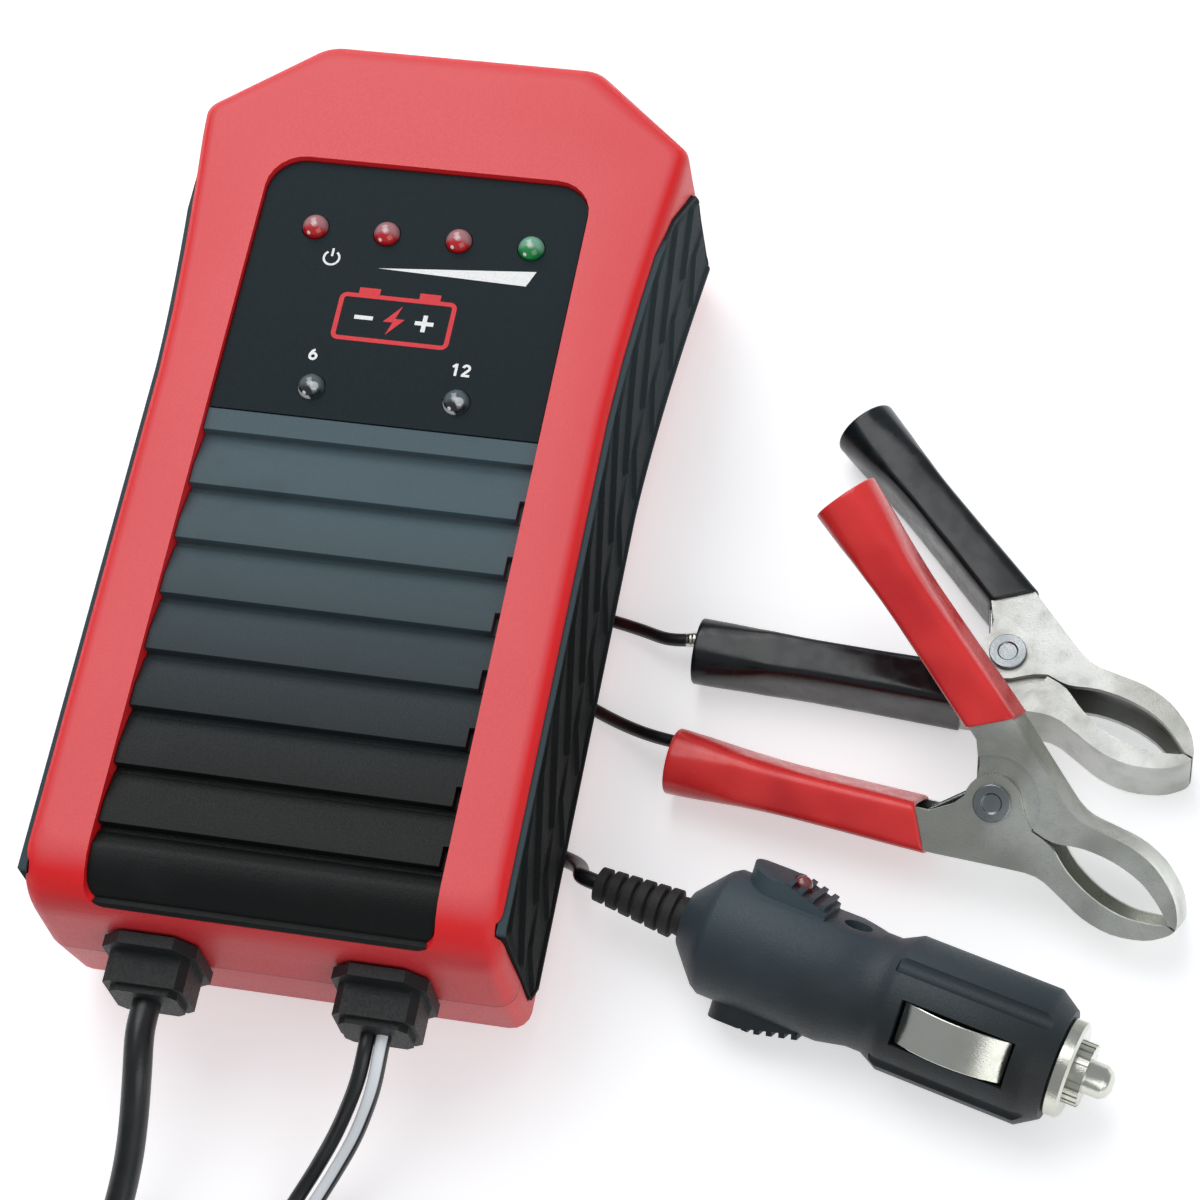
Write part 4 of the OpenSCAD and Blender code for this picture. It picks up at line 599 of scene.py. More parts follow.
plugFinish = {"front": (26, 29, 30), "back": (66, 81, 89), "worn": (66, 81, 89), "run": (-78, -46),
              "grain": 0.3, "depth": 0.07, "rough": (0.4, 0.54), "gloss": 0.34}
connectorFinish = {"front": (24, 26, 27), "back": (34, 38, 40), "worn": (34, 38, 40), "run": (-190, 90),
                   "grain": 0.3, "depth": 0.04, "rough": (0.38, 0.5), "gloss": 0.3}


def blackMould(name, finish):
    # black plastic or rubber: a tone that runs along the case, paler towards the back as a painted
    # reflection, worn patches, and a painted highlight along the rim where it has one
    paint = Paint(name)
    place = paint.place()
    # painted reflection: paler towards the back
    tone = paint.blend(paint.between(paint.part(place, "Y") / mm, *finish["run"]), colour(*finish["front"]),
                       colour(*finish["back"]))
    grain = paint.noise(finish["grain"], 3, 0.6)
    tone = paint.blend(paint.between(paint.noise(14, 3), 0.5, 0.8, 0, 0.25), tone, colour(*finish["worn"]))
    # painted highlight: a paler top rim
    if "rim" in finish:
        start = finish["rimFrom"]
        rimHighlight = paint.between(paint.part(place, "Z") / mm, start, start + 0.15, 0, 0.8)
        tone = paint.blend(rimHighlight, tone, colour(*finish["rim"]))
    return paint.finish(
        Base_Color=tone, Roughness=paint.between(grain, 0.3, 0.7, *finish["rough"]),
        Normal=paint.bump(grain, finish["depth"]), Specular_IOR_Level=finish["gloss"])


# deep is the tone of the painted shade in the dents
blackVinylFinish = {"body": (20, 25, 28), "deep": (14, 17, 19), "rough": (0.2, 0.32), "coat": 0.12}
redVinylFinish = {"body": (230, 54, 54), "deep": (206, 38, 42), "rough": (0.24, 0.36), "coat": 0.25}


def vinylMaterial(name, finish):
    # dipped vinyl: smooth, shallowly dented, with painted shade darkening its dents
    paint = Paint(name)
    dents = paint.noise(11, 1)
    fine = paint.noise(2.2, 1)
    # painted shade: darker where the dents sink
    tone = paint.blend(paint.between(dents, 0.25, 0.6), colour(*finish["deep"]), colour(*finish["body"]))
    return paint.finish(
        Base_Color=tone, Roughness=paint.between(fine, 0.35, 0.7, *finish["rough"]),
        Normal=paint.bump(fine, 0.01, paint.bump(dents, 0.6)), Coat_Weight=finish["coat"],
        Coat_Roughness=0.16, Specular_IOR_Level=0.36)


# amount is the share of stains, and lines the depth of the rolling lines
brightFinish = {"body": (188, 189, 186), "stain": (146, 146, 138), "amount": 0.35, "rough": (0.3, 0.46),
                "lines": 0.03}
oliveFinish = {"body": (218, 220, 213), "stain": (150, 152, 141), "amount": 0.35, "rough": (0.26, 0.4),
               "lines": 0.03}
rivetFinish = {"body": (168, 173, 175), "stain": (112, 118, 121), "amount": 0.35, "rough": (0.22, 0.36),
               "lines": 0.03}
nickelFinish = {"body": (214, 215, 207), "stain": (196, 194, 178), "amount": 0.25, "rough": (0.14, 0.26),
                "lines": 0.02}


def metalMaterial(name, finish):
    # plated sheet: faint rolling lines, small stains and a soft unevenness
    paint = Paint(name)
    lines = paint.noise(0.6, 3, stretch=(1, 6, 1))
    clouds = paint.noise(3.5, 4, 0.6)
    sweep = paint.noise(15, 1)
    speck = paint.noise(0.28, 2)
    tone, stain = colour(*finish["body"]), colour(*finish["stain"])
    amount = finish["amount"]
    for grain, low, high, most in (
            (clouds, 0.5, 0.8, amount), (sweep, 0.4, 0.64, amount * 1.8), (speck, 0.56, 0.72, 0.3)):
        tone = paint.blend(paint.between(grain, low, high, 0, most), tone, stain)
    relief = paint.bump(speck, 0.012, paint.bump(lines, finish["lines"], paint.bump(sweep, 0.35)))
    return paint.finish(Base_Color=tone, Metallic=1.0, Normal=relief,
                        Roughness=paint.between(clouds, 0.3, 0.7, *finish["rough"]))


# pale is the painted light on a lens's far side, foot the tone of the painted band round its foot and
# crescent the painted highlights of the clear lens
redLensFinish = {"body": (200, 20, 28), "pale": (176, 122, 126), "foot": (110, 16, 20)}
greenLensFinish = {"body": (16, 140, 66), "pale": (120, 178, 150), "foot": (8, 74, 40)}
clearLensFinish = {"body": (26, 34, 38), "pale": (84, 98, 102), "foot": (70, 80, 84),
                   "crescent": (224, 230, 230)}
# the tint of the painted haze of light on top and of the painted glint of every lens, and the heights between
# which its painted band round the foot ends
lensPaintedLight = {"haze": (214, 196, 196), "glint": (250, 240, 238), "foot": (41.05, 41.5)}


def lensMaterial(name, finish):
    # a tinted dome: deep on its near side, with painted light paling its far side and top, a painted band
    # round its foot, shade on the tinted lenses and a paler rim on the clear one, and painted glints
    paint = Paint(name)
    x, y, z = (paint.normal(axis) for axis in "XYZ")
    height = paint.part(paint.place(), "Z") / mm
    chip = paint.noise(0.9, 2)
    farSideLight = paint.between(y + 0.25 * chip, -0.42, 0.02)
    topHaze = paint.between(0.1 * x - 0.2 * y + 0.97 * z, 0.95, 1.0, 0, 0.6)
    footPaintedBand = paint.between(height, *lensPaintedLight["foot"], 0.75, 0)
    paintedGlint = paint.between(-0.3 * x - 0.78 * y + 0.55 * z, 0.986, 0.994)
    tone = paint.blend(farSideLight, colour(*finish["body"]), colour(*finish["pale"]))
    for mask, tint in ((topHaze, lensPaintedLight["haze"]), (footPaintedBand, finish["foot"]), (paintedGlint, lensPaintedLight["glint"])):
        tone = paint.blend(mask, tone, colour(*tint))
    if "crescent" in finish:
        # painted highlights: a crescent of light on the near left rim and a blob inside it
        rimHighlight = paint.between(-0.62 * x - 0.78 * y, 0.62, 0.74) * paint.between(z, 0.34, 0.5, 1, 0)
        blobHighlight = paint.between(0.42 * x - 0.3 * y + 0.86 * z, 0.93, 0.975, 0, 0.7)
        for mask in (rimHighlight, blobHighlight):
            tone = paint.blend(mask, tone, colour(*finish["crescent"]))
    return paint.finish(
        Base_Color=tone, Roughness=paint.between(chip, 0.3, 0.7, 0.05, 0.14), Coat_Weight=0.7,
        Coat_Roughness=0.04, IOR=1.49)


def plainMaterial(name, body, other, size, rough=(0.35, 0.55), metallic=0.0, depth=0.03):
    # two near shades mixed by a noise of that size, with the same noise as relief
    paint = Paint(name)
    grain = paint.noise(size, 3)
    tone = paint.blend(paint.between(grain, 0.35, 0.65), colour(*body), colour(*other))
    return paint.finish(Base_Color=tone, Metallic=metallic, Roughness=paint.between(grain, 0.3, 0.7, *rough),
                        Normal=paint.bump(grain, depth))


def layeredMaterial(name, body, other, pitch, metallic=0.0):
    # stacked sheets or wound turns: bands that follow one another along X
    paint = Paint(name)
    bands = paint.node("ShaderNodeTexWave", {"bands_direction": "X"}, {
        "Vector": paint.place(), "Scale": 1 / (pitch * mm * 2), "Distortion": 0.4, "Detail": 1.0})
    tone = paint.blend(bands, colour(*body), colour(*other))
    return paint.finish(Base_Color=tone, Metallic=metallic, Roughness=paint.between(bands, 0, 1, 0.35, 0.5),
                        Normal=paint.bump(bands, 0.1))


caseRed = caseMaterial(caseFinish)
panelBlack = blackMould("slatted panel", panelFinish)
labelBlack = blackMould("label film", labelFinish)
gripRubber = blackMould("grip rubber", gripFinish)
glandBlack = blackMould("gland rubber", glandFinish)
plugBlack = blackMould("plug mould", plugFinish)
connectorBlack = blackMould("connector mould", connectorFinish)
vinylBlack = vinylMaterial("black sleeve vinyl", blackVinylFinish)
vinylRed = vinylMaterial("red sleeve vinyl", redVinylFinish)
steelBright = metalMaterial("bright plated steel", brightFinish)
steelOlive = metalMaterial("dulled plated steel", oliveFinish)
rivetSteel = metalMaterial("rivet steel", rivetFinish)
nickel = metalMaterial("nickelled brass", nickelFinish)
lensRed = lensMaterial("red lens", redLensFinish)
lensGreen = lensMaterial("green lens", greenLensFinish)
lensClear = lensMaterial("clear lens", clearLensFinish)
boardGreen = plainMaterial("board laminate", (28, 92, 58), (36, 104, 66), 1.5)
ironSheets = layeredMaterial("core sheets", (84, 86, 88), (60, 61, 63), 0.5, 0.6)
copperWire = layeredMaterial("enamelled copper", (176, 92, 46), (140, 66, 30), 0.4, 0.7)
aluminium = plainMaterial("drawn aluminium", (190, 192, 194), (172, 175, 178), 0.8, (0.3, 0.45), 1.0)
canSleeve = plainMaterial("capacitor sleeve", (40, 52, 84), (34, 45, 74), 2.5, (0.3, 0.42))
glassTube = plainMaterial("fuse glass", (206, 214, 212), (190, 200, 198), 2.0, (0.06, 0.14), 0.0, 0.01)
innerRed = plainMaterial("inner wire", (176, 34, 34), (160, 28, 30), 1.2, (0.34, 0.48))
footRubber = plainMaterial("foot rubber", (34, 34, 35), (42, 42, 43), 0.6, (0.6, 0.75))
tieBlack = plainMaterial("tie nylon", (30, 31, 32), (38, 39, 40), 0.9, (0.35, 0.48))
chipBlack = plainMaterial("moulded chip", (32, 33, 34), (40, 41, 42), 0.5, (0.5, 0.62))

# the CAD nodes that show, or lie inside, as they are
nodeFinishes = {
    "lamp_board": boardGreen, "main_board": boardGreen, "transformer_core": ironSheets,
    "transformer_winding": copperWire, "bridge_rectifier": chipBlack, "capacitors": canSleeve,
    "mains_fuse": glassTube, "heatsink": aluminium, "power_transistors": chipBlack, "control_chip": chipBlack,
    "case_screws": steelBright, "board_screws": steelBright, "inner_wires": innerRed,
    "plug_tip_spring": steelBright, "plug_fuse": glassTube, "plug_screw": steelBright,
    "plug_relief": footRubber, "plug_lamp": lensRed, "charge_lamps": lensRed, "full_lamp": lensGreen,
    "voltage_lamps": lensClear, "label_plate": labelBlack,
}
for nodeName, finish in nodeFinishes.items():
    for slot in nodes[nodeName].material_slots:
        slot.material = finish
print("materials made")


# by node: the new piece, its material, its rounding in mm, its body and its slot
roundedParts = {
    "rear_shell": ("caseRear", caseRed, 0.35, "charger", "case_red"),
    "front_panel": ("slattedPanel", panelBlack, 0.18, "charger", "insert_black"),
    "mains_gland": ("mainsGland", glandBlack, 0.25, "charger", "insert_black"),
    "output_gland": ("outputGland", glandBlack, 0.25, "charger", "insert_black"),
    "rubber_feet": ("feet", footRubber, 0.3, "charger", "rubber"),
    "mains_plug_body": ("mainsPlug", connectorBlack, 0.4, "charger", "lead_black"),
    "mains_plug_pins": ("mainsPins", nickel, 0.2, "charger", "chrome"),
    "output_connector": ("outputConnector", connectorBlack, 0.3, "charger", "lead_black"),
    "adapter_connectors": ("adapterConnectors", connectorBlack, 0.3, "charger", "lead_black"),
    "black_fixed_jaw": ("blackLowerJaw", steelBright, 0.28, "charger", "steel"),
    "black_moving_jaw": ("blackUpperJaw", steelBright, 0.28, "black_jaw", "steel"),
    "black_rivet": ("blackRivet", rivetSteel, 0.25, "charger", "steel"),
    "red_fixed_jaw": ("redLowerJaw", steelOlive, 0.28, "charger", "steel"),
    "red_moving_jaw": ("redUpperJaw", steelOlive, 0.28, "red_jaw", "steel"),
    "red_rivet": ("redRivet", rivetSteel, 0.25, "charger", "steel"),
    "plug_top_shell": ("plugTop", plugBlack, 0.3, "charger", "insert_black"),
    "plug_bottom_shell": ("plugBottom", plugBlack, 0.3, "charger", "insert_black"),
    "plug_upper_contact": ("plugUpperContact", nickel, 0.12, "upper_contact", "chrome"),
    "plug_lower_contact": ("plugLowerContact", nickel, 0.12, "lower_contact", "chrome"),
    "plug_tip_pin": ("plugTip", nickel, 0.3, "tip", "chrome"),
    "plug_nose_ring": ("plugRing", nickel, 0.25, "nose_ring", "chrome"),
}


windowEdge = {
    "half": 26.8, "far": 53.4,
    "nose": {"radius": 9.5, "y": -67.2, "z": 32.5},  # the roll at the lead end, its top being the front face
    "near": 0.25,
}


def atWindow(middle):
    # the window's edge: inside its width and length, and on the front face or its roll over the lead end
    x, y, z = middle.T
    nose = windowEdge["nose"]
    past = np.clip(nose["y"] - y, 0, nose["radius"])
    surface = np.sqrt(np.clip(nose["radius"] ** 2 - past ** 2, 0, None)) + nose["z"]
    onSurface = np.abs(z - surface) < windowEdge["near"]
    return (np.abs(x) < windowEdge["half"]) & (y < windowEdge["far"]) & onSurface


softCopy("caseFront", "front_shell", caseRed, 1.0, segments=3, rim=atWindow)
for nodeName, (pieceName, finish, bevel, body, slotName) in roundedParts.items():
    softCopy(pieceName, nodeName, finish, bevel, body)
print("rigid parts rounded")


gripShape = {
    "ends": (-72.5, 62.8), "halfWidth": 36.4, "headHalf": 40.2, "depth": 0.9, "feet": 4,
    "flare": {"from": 12, "to": 59.3, "power": 1.5},
    "shoulder": {"from": 60.65, "x": 37.02, "y": 61.01, "radius": 3},
    # how the lower edge drops at the lead end, and how the upper one comes down round the head
    "lowAt": (-72.6, -72.0, -68.6), "lowEdge": (36, 7.2, 3.2),
    "topAt": (42.3, 50.3, 59.7, 62.5, 62.9), "topEdge": (36.2, 34, 27, 19, 3.4),
    # the rim's rise, the ground's fall, the rim's width and its soft edge, and where the rim runs lengthwise
    "proud": 0.35, "sunk": 0.1, "rim": 1.2, "soft": 0.35, "trim": (-72.5, 63.4),
    # the blades' height, pitch and first place, their step's share of the pitch and their fade to the rim
    "tread": 0.7, "pitch": 12.2, "first": -58.6, "step": 0.03, "fade": 0.9,
    # two rows of blades: the height that their slant is measured from, the slant, their shift along, the
    # ramp's share of the pitch, their relative height, and where a row comes in and goes out
    "blades": [
        {"at": 33, "slant": 0.92, "shift": 0, "share": 0.86, "height": 1,
         "band": (17.2, 17.5, 33.0, 33.8)},
        {"at": 15.2, "slant": 0.5, "shift": 8.2, "share": 0.7, "height": 0.85,
         "band": (6.0, 6.6, 15.0, 15.4)},
    ],
    "along": 620, "across": 76, "backEvery": 6,
}


def sideAt(y):
    # the case's half width: straight, then flaring as a power, then round the shoulder
    g = gripShape
    flare, shoulder = g["flare"], g["shoulder"]
    k = np.clip((y - flare["from"]) / (flare["to"] - flare["from"]), 0, None)
    side = g["halfWidth"] + (g["headHalf"] - g["halfWidth"]) * k ** flare["power"]
    square = np.clip(shoulder["radius"] ** 2 - (y - shoulder["y"]) ** 2, 0, shoulder["radius"] ** 2)
    return np.where(y > shoulder["from"], shoulder["x"] + np.sqrt(square), side)


def bladeRow(row, y, z):
    # a row of slanting blades from 0 to its height, each a steep step and a long ramp down to the next
    g = gripShape
    phase = ((y - g["first"] + row["shift"] - row["slant"] * (z - row["at"])) / g["pitch"]) % 1
    lowFrom, lowTo, highFrom, highTo = row["band"]
    inBand = smoothStep(z, lowFrom, lowTo) * (1 - smoothStep(z, highFrom, highTo))
    ramp = (1 - np.clip((phase - g["step"]) / row["share"], 0, 1)) ** 0.9
    return row["height"] * inBand * (smoothStep(phase, 0, g["step"]) * ramp)


def addGrip(name, node, mirrored):
    # the case's side with a raised rim and two rows of blades, and a coarser back a depth inside it
    g = gripShape
    y = np.linspace(*g["ends"], g["along"])[:, None]
    low = np.interp(y, g["lowAt"], g["lowEdge"])
    top = np.interp(y, g["topAt"], g["topEdge"])
    z = low + (top - low) * np.linspace(0, 1, g["across"])[None, :]
    near, far = g["trim"]
    edge = np.minimum(np.minimum(z - low, (top - z) * 0.85), np.minimum(y - near, far - y))
    rim = 1 - smoothStep(edge, g["rim"] - g["soft"], g["rim"])
    height = g["tread"] * sum(bladeRow(row, y, z) for row in g["blades"])
    inside = smoothStep(edge, g["rim"], g["rim"] + g["fade"])
    skin = sideAt(y) + 0 * z
    front = skin + g["proud"] * rim + (height * inside - g["sunk"]) * (1 - rim)
    back = (skin - g["depth"])[:, ::-g["backEvery"]]
    x = np.concatenate([front, back], 1)
    high = np.concatenate([z, z[:, ::-g["backEvery"]]], 1) + g["feet"]
    points = np.stack([-x if mirrored else x, y + 0 * x, high], -1)
    piece = makePiece(name, [{"points": points, "closedCols": True, "capped": True}], [gripRubber], sharp=42)
    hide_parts(node)


addGrip("gripRight", "grip_right", False)
addGrip("gripLeft", "grip_left", True)
print("grips made")


sleeveShape = {
    # place along the sleeve, half depth, half width, squareness, slant of the section
    "sections": [(0, 3.75, 5.8, 6.4, 0.42), (5, 3.74, 5.78, 6, 0.25), (13, 3.68, 5.72, 5.5, 0.1),
                 (21, 3.72, 5.7, 5.3, 0), (28, 4.05, 5.62, 4.6, 0), (31.5, 4.4, 5.45, 3.4, 0),
                 (35, 4.8, 5.3, 2.7, 0), (40.5, 5.25, 5.2, 2.1, 0)],
    "wall": 0.65, "around": 112, "along": 90, "lip": 5,
    # a shallow pinch: its place along and round the sleeve, its reach both ways and its depth as a share
    "pinch": {"at": 25, "reach": 6, "side": 0.55, "spread": 0.3, "share": 0.035},
}


def addSleeve(name, clip, lower, material, body, node):
    # superellipse sections |x/a|^e + |y/b|^e = 1 along the handle, out over its skin, back along its lining
    shape = sleeveShape
    fine = through(shape["sections"], 16)
    length = shape["sections"][-1][0]
    place = length * np.linspace(0, 1, shape["along"])
    a, b, e, slant = (np.interp(place, fine[:, 0], fine[:, k]) for k in range(1, 5))
    lip = np.radians(np.linspace(-90, 90, shape["lip"] + 2))[1:-1]
    half = shape["wall"] / 2
    # outer skin, rounded far lip, lining, rounded near lip
    at = np.concatenate([place, length + half * np.cos(lip), place[::-1], -half * np.cos(lip)])
    rise = half * np.sin(lip)
    inset = np.concatenate([0 * place, half + rise, 0 * place + 2 * half, half - rise])
    last = len(place) - 1
    order = np.concatenate([
        np.arange(last + 1), np.full(len(lip), last), np.arange(last + 1)[::-1], np.zeros(len(lip), int)])
    t = np.linspace(0, 2 * pi, shape["around"], endpoint=False)[None, :]
    power = 2 / e[order][:, None]
    depth = (a[order] - inset)[:, None] * np.sign(np.cos(t)) * np.abs(np.cos(t)) ** power
    width = (b[order] - inset)[:, None] * np.sign(np.sin(t)) * np.abs(np.sin(t)) ** power
    pinch = shape["pinch"]
    pinched = np.exp(-((at[:, None] - pinch["at"]) / pinch["reach"]) ** 2) \
        * np.exp(-((np.abs(np.sin(t)) - pinch["side"]) / pinch["spread"]) ** 2)
    onSkin = (inset < 0.01)[:, None]
    depth = depth * (1 - pinch["share"] * pinched * onSkin)
    x, y = onHandle(at[:, None] - slant[order][:, None] * depth + clip["slide"], depth)
    skin = inClip(clip, np.stack([x, y, width], -1), lower)
    tube = {"points": skin, "closedRows": True, "closedCols": True}
    piece = makePiece(name, [tube], [material], body, sharp=60)
    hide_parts(node)


for tint, vinyl, slotName in (("black", vinylBlack, "lead_black"), ("red", vinylRed, "sleeve_red")):
    for side, lower, body in (("fixed", True, "charger"), ("moving", False, tint + "_jaw")):
        addSleeve(tint + side.title() + "Sleeve", clips[tint], lower, vinyl, body,
                  tint + "_" + side + "_sleeve")
print("sleeves made")

strapShape = {
    "wide": 4, "thick": 0.7, "gap": 0.1, "step": 0.4,
    # the buckle: its height over the strap, half its length, the ease of its ends and the way it faces
    "buckle": 1.3, "reach": 2.2, "ease": 0.4, "faces": (0.2, 1.0),
}


def strapGrid(coil, radius, spread, bearing):
    # a band drawn tight over the turns at that bearing: the hull of their circles, thicker at its buckle
    shape = strapShape
    turns = coilPath(coil)
    flat = turns[:, :2] - coil["centre"]
    off = (np.degrees(np.arctan2(flat[:, 1], flat[:, 0])) - bearing + 180) % 360 - 180
    crossed = (off[:-1] * off[1:] <= 0) & (np.abs(off[:-1]) < 10)
    here = np.where(crossed)[0]
    distance = np.hypot(*flat[here].T)
    centres = np.vstack([np.stack([distance + side, turns[here, 2]], 1) for side in (-spread, spread)])
    a = np.linspace(0, 2 * pi, 241)[:-1]
    ways = np.stack([np.cos(a), np.sin(a)], 1)
    hull = centres[np.argmax(centres @ ways.T, axis=0)] + (radius + shape["gap"]) * ways
    loop = evenly(np.vstack([hull, hull[:1]]), shape["step"])[:-1]
    ahead = unit(np.roll(loop, -1, 0) - np.roll(loop, 1, 0))
    out = np.stack([ahead[:, 1], -ahead[:, 0]], 1)
    count = len(loop)
    middle = np.argmax(loop @ shape["faces"])
    away = np.abs((np.arange(count) - middle + count / 2) % count - count / 2) * shape["step"]
    lump = (1 - smoothStep(away, shape["reach"], shape["reach"] + shape["ease"]))[:, None]
    outer = loop + out * (shape["thick"] + shape["buckle"] * lump)
    half = shape["wide"] / 2 + shape["ease"] * lump
    b = radians(bearing)
    outwards, sidewards = np.array([cos(b), sin(b)]), np.array([-sin(b), cos(b)])
    rows = [
        np.hstack([coil["centre"] + edge[:, :1] * outwards + side * half * sidewards, edge[:, 1:]])
        for edge, side in ((loop, -1), (loop, 1), (outer, 1), (outer, -1))]
    return {"points": np.stack(rows, 1), "closedRows": True, "closedCols": True}


straps = [strapGrid(mainsLead["coil"], mainsLead["thick"] / 2, 0, bearing) for bearing in (100, 260)]
flatHalf = outputLead["depth"] / 2
straps += [strapGrid(outputLead["coil"], flatHalf, flatHalf, bearing) for bearing in (75, 320)]
coilTies = makePiece("coilTies", straps, [tieBlack], sharp=38)
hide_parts("coil_ties")
print("straps made")

# the spring's wire and coil, half the coil's length, where its legs end behind and beside the rivet, and half
# the stretch across the rivet over which it turns from one handle's motion to the other's
springShape = {"wire": 0.45, "radius": 2.75, "turns": 3, "half": 2.0, "tip": (10.8, 12.9), "bend": 1.4}


def addSpring(tint):
    # a leg in each handle, each tangent to a coil round the rivet
    shape = springShape
    back, out = shape["tip"]
    lean = np.degrees(np.arccos(shape["radius"] / np.hypot(back, out)))
    touch = 360 - np.degrees(np.arctan2(out, -back)) - lean
    turn = np.radians(np.linspace(touch, -touch - 360 * shape["turns"], 150))
    coil = np.stack([shape["radius"] * np.cos(turn), shape["radius"] * np.sin(turn),
                     np.linspace(-shape["half"], shape["half"], len(turn))], 1)
    share = np.linspace(0, 1, 12)[:-1, None]
    near, far = np.array([-back, -out, -shape["half"]]), np.array([-back, out, shape["half"]])
    path = np.vstack([near + (coil[0] - near) * share, coil, (far + (coil[-1] - far) * share)[::-1]])
    clip = clips[tint]
    wire = tubeGrid(inClip(clip, path), shape["wire"], shape["wire"], 10)
    piece = makePiece(tint + "ClipSpring", [wire], [rivetSteel], None, 60)
    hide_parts(tint + "_spring")
    low, high = (inClip(clip, (0, y, 0)) * mm for y in (-shape["bend"], shape["bend"]))
    tint + "_jaw"
    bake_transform(piece)


for tint in ("black", "red"):
    addSpring(tint)
print("springs made")

ferruleShape = {"from": 12, "to": 16, "radius": 1.2, "mouth": 0.86, "ripple": 0.05}


def addFerrule():
    # a tube on the black clip's lead, where it leaves its sleeve: narrower at its mouths, faintly rippled
    shape = ferruleShape
    path = evenly(through(np.vstack([wireStart(clips["black"]), clipLeads["black"][:3]]), 24), 0.2)
    run = runAlong(path)
    part = path[(run > shape["from"]) & (run < shape["to"])]
    u = np.linspace(0, 1, len(part))
    belly = shape["mouth"] + (1 - shape["mouth"]) * np.sin(pi * u) ** 0.4
    radius = shape["radius"] * belly + shape["ripple"] * np.sin(u * 40)
    piece = makePiece("ferrule", [tubeGrid(part, radius, radius, 24)], [nickel], sharp=50)


addFerrule()
print("ferrule made")


labelPrint = {
    # the label's height, how far over it the marks start and end, and how much a stroke's top climbs
    "level": 41.0, "under": 0.005, "film": 0.05, "climb": 0.006,
    "white": (246, 247, 246), "red": (224, 52, 60), "worn": (60, 68, 70),
    "wedge": [(-5.1, 34.35), (20.1, 36.6), (18.9, 33.8)],
    "numbers": [("6", -12.7, 16.7), ("1", 10.3, 16.6), ("2", 11.9, 16.6)],  # figure, its left, its foot
    "line": 0.42,
    "power": {"centre": (-13, 35.4), "radius": 1.25, "ring": (125, 415), "bar": (0.3, 1.75), "line": 0.36},
    "battery": {
        "centre": (-0.6, 25.2), "width": 19, "height": 8.6, "corner": 1.2, "line": 0.75,
        "caps": {"from": 3.2, "to": 6.6, "above": 0.55, "line": 1.1},
        "signs": {"from": 3.4, "to": 6.4, "middle": 4.9, "gap": 0.35, "reach": 1.5, "line": 0.7},
        "bolt": [(0.9, 2.7), (-1.7, -0.35), (-0.15, -0.35), (-0.9, -2.7), (1.7, 0.35), (0.15, 0.35)],
    },
}


def printMaterial(name, tint):
    # a flat ink, thinly worn
    paint = Paint(name)
    wear = paint.noise(0.35, 2)
    tone = paint.blend(paint.between(wear, 0.35, 0.75, 0, 0.12), colour(*tint), colour(*labelPrint["worn"]))
    return paint.finish(Base_Color=tone, Roughness=paint.between(wear, 0.3, 0.7, 0.42, 0.54),
                        Normal=paint.bump(wear, 0.01), Specular_IOR_Level=0.25)


filmLow = labelPrint["level"] + labelPrint["under"]
filmHigh = labelPrint["level"] + labelPrint["film"]


def slab(outline, slot=0):
    # a thin film of that outline on the label
    p = np.array(outline, float)
    rows = [np.column_stack([p, np.full(len(p), level)]) for level in (filmLow, filmHigh)]
    return {"points": np.stack(rows), "closedCols": True, "capped": True, "slot": slot}


def stroke(path, wide, slot=0):
    # a flat band of that width along a path, its top rising by a hair so that a crossing shows one face
    p = np.array(path, float)
    ahead = unit(np.gradient(p, axis=0))
    side = np.stack([-ahead[:, 1], ahead[:, 0]], 1) * wide / 2
    low = np.full((len(p), 1), filmLow)
    high = filmHigh + np.linspace(0, labelPrint["climb"], len(p))[:, None]
    corners = (p + side, low), (p - side, low), (p - side, high), (p + side, high)
    points = np.stack([np.hstack(corner) for corner in corners], 1)
    return {"points": points, "closedCols": True, "capped": True, "slot": slot}


def arc(centre, radius, start, end, steps=24):
    # points round a centre, angles in degrees
    a = np.radians(np.linspace(start, end, steps))
    return np.array(centre) + radius * np.stack([np.cos(a), np.sin(a)], 1)


# the strokes of each plain figure, from its left and its foot
figures = {
    "6": [np.vstack([arc((1.52, 0.72), 1.32, 118, 180), arc((0.72, 0.72), 0.52, 190, 545, 36)])],
    "1": [[(0.12, 1.55), (0.62, 2.0)], [(0.7, 2.2), (0.7, 1.1), (0.7, 0)]],
    "2": [np.vstack([arc((0.7, 1.5), 0.5, 172, -30), [(0.3, 0.35)]]), [(0.06, 0.2), (1.38, 0.2)]],
}


def roundedRing(centre, width, height, corner, line, slot=0):
    # a band between a rounded rectangle and another that lies a line's width inside it
    a = np.radians(np.concatenate([np.linspace(90 * k, 90 * k + 90, 9) for k in range(4)]))
    cornerX, cornerY = width / 2 - corner, height / 2 - corner
    cx = np.repeat([1, -1, -1, 1], 9) * cornerX
    cy = np.repeat([1, 1, -1, -1], 9) * cornerY
    rows = []
    for inset, level in ((0, filmLow), (0, filmHigh), (line, filmHigh), (line, filmLow)):
        r = max(corner - inset, 0.1)
        grow = r + inset - corner
        x = centre[0] + cx * (1 - grow / cornerX) + r * np.cos(a)
        y = centre[1] + cy * (1 - grow / cornerY) + r * np.sin(a)
        rows.append(np.column_stack([x, y, 0 * x + level]))
    return {"points": np.array(rows), "closedRows": True, "closedCols": True, "slot": slot}


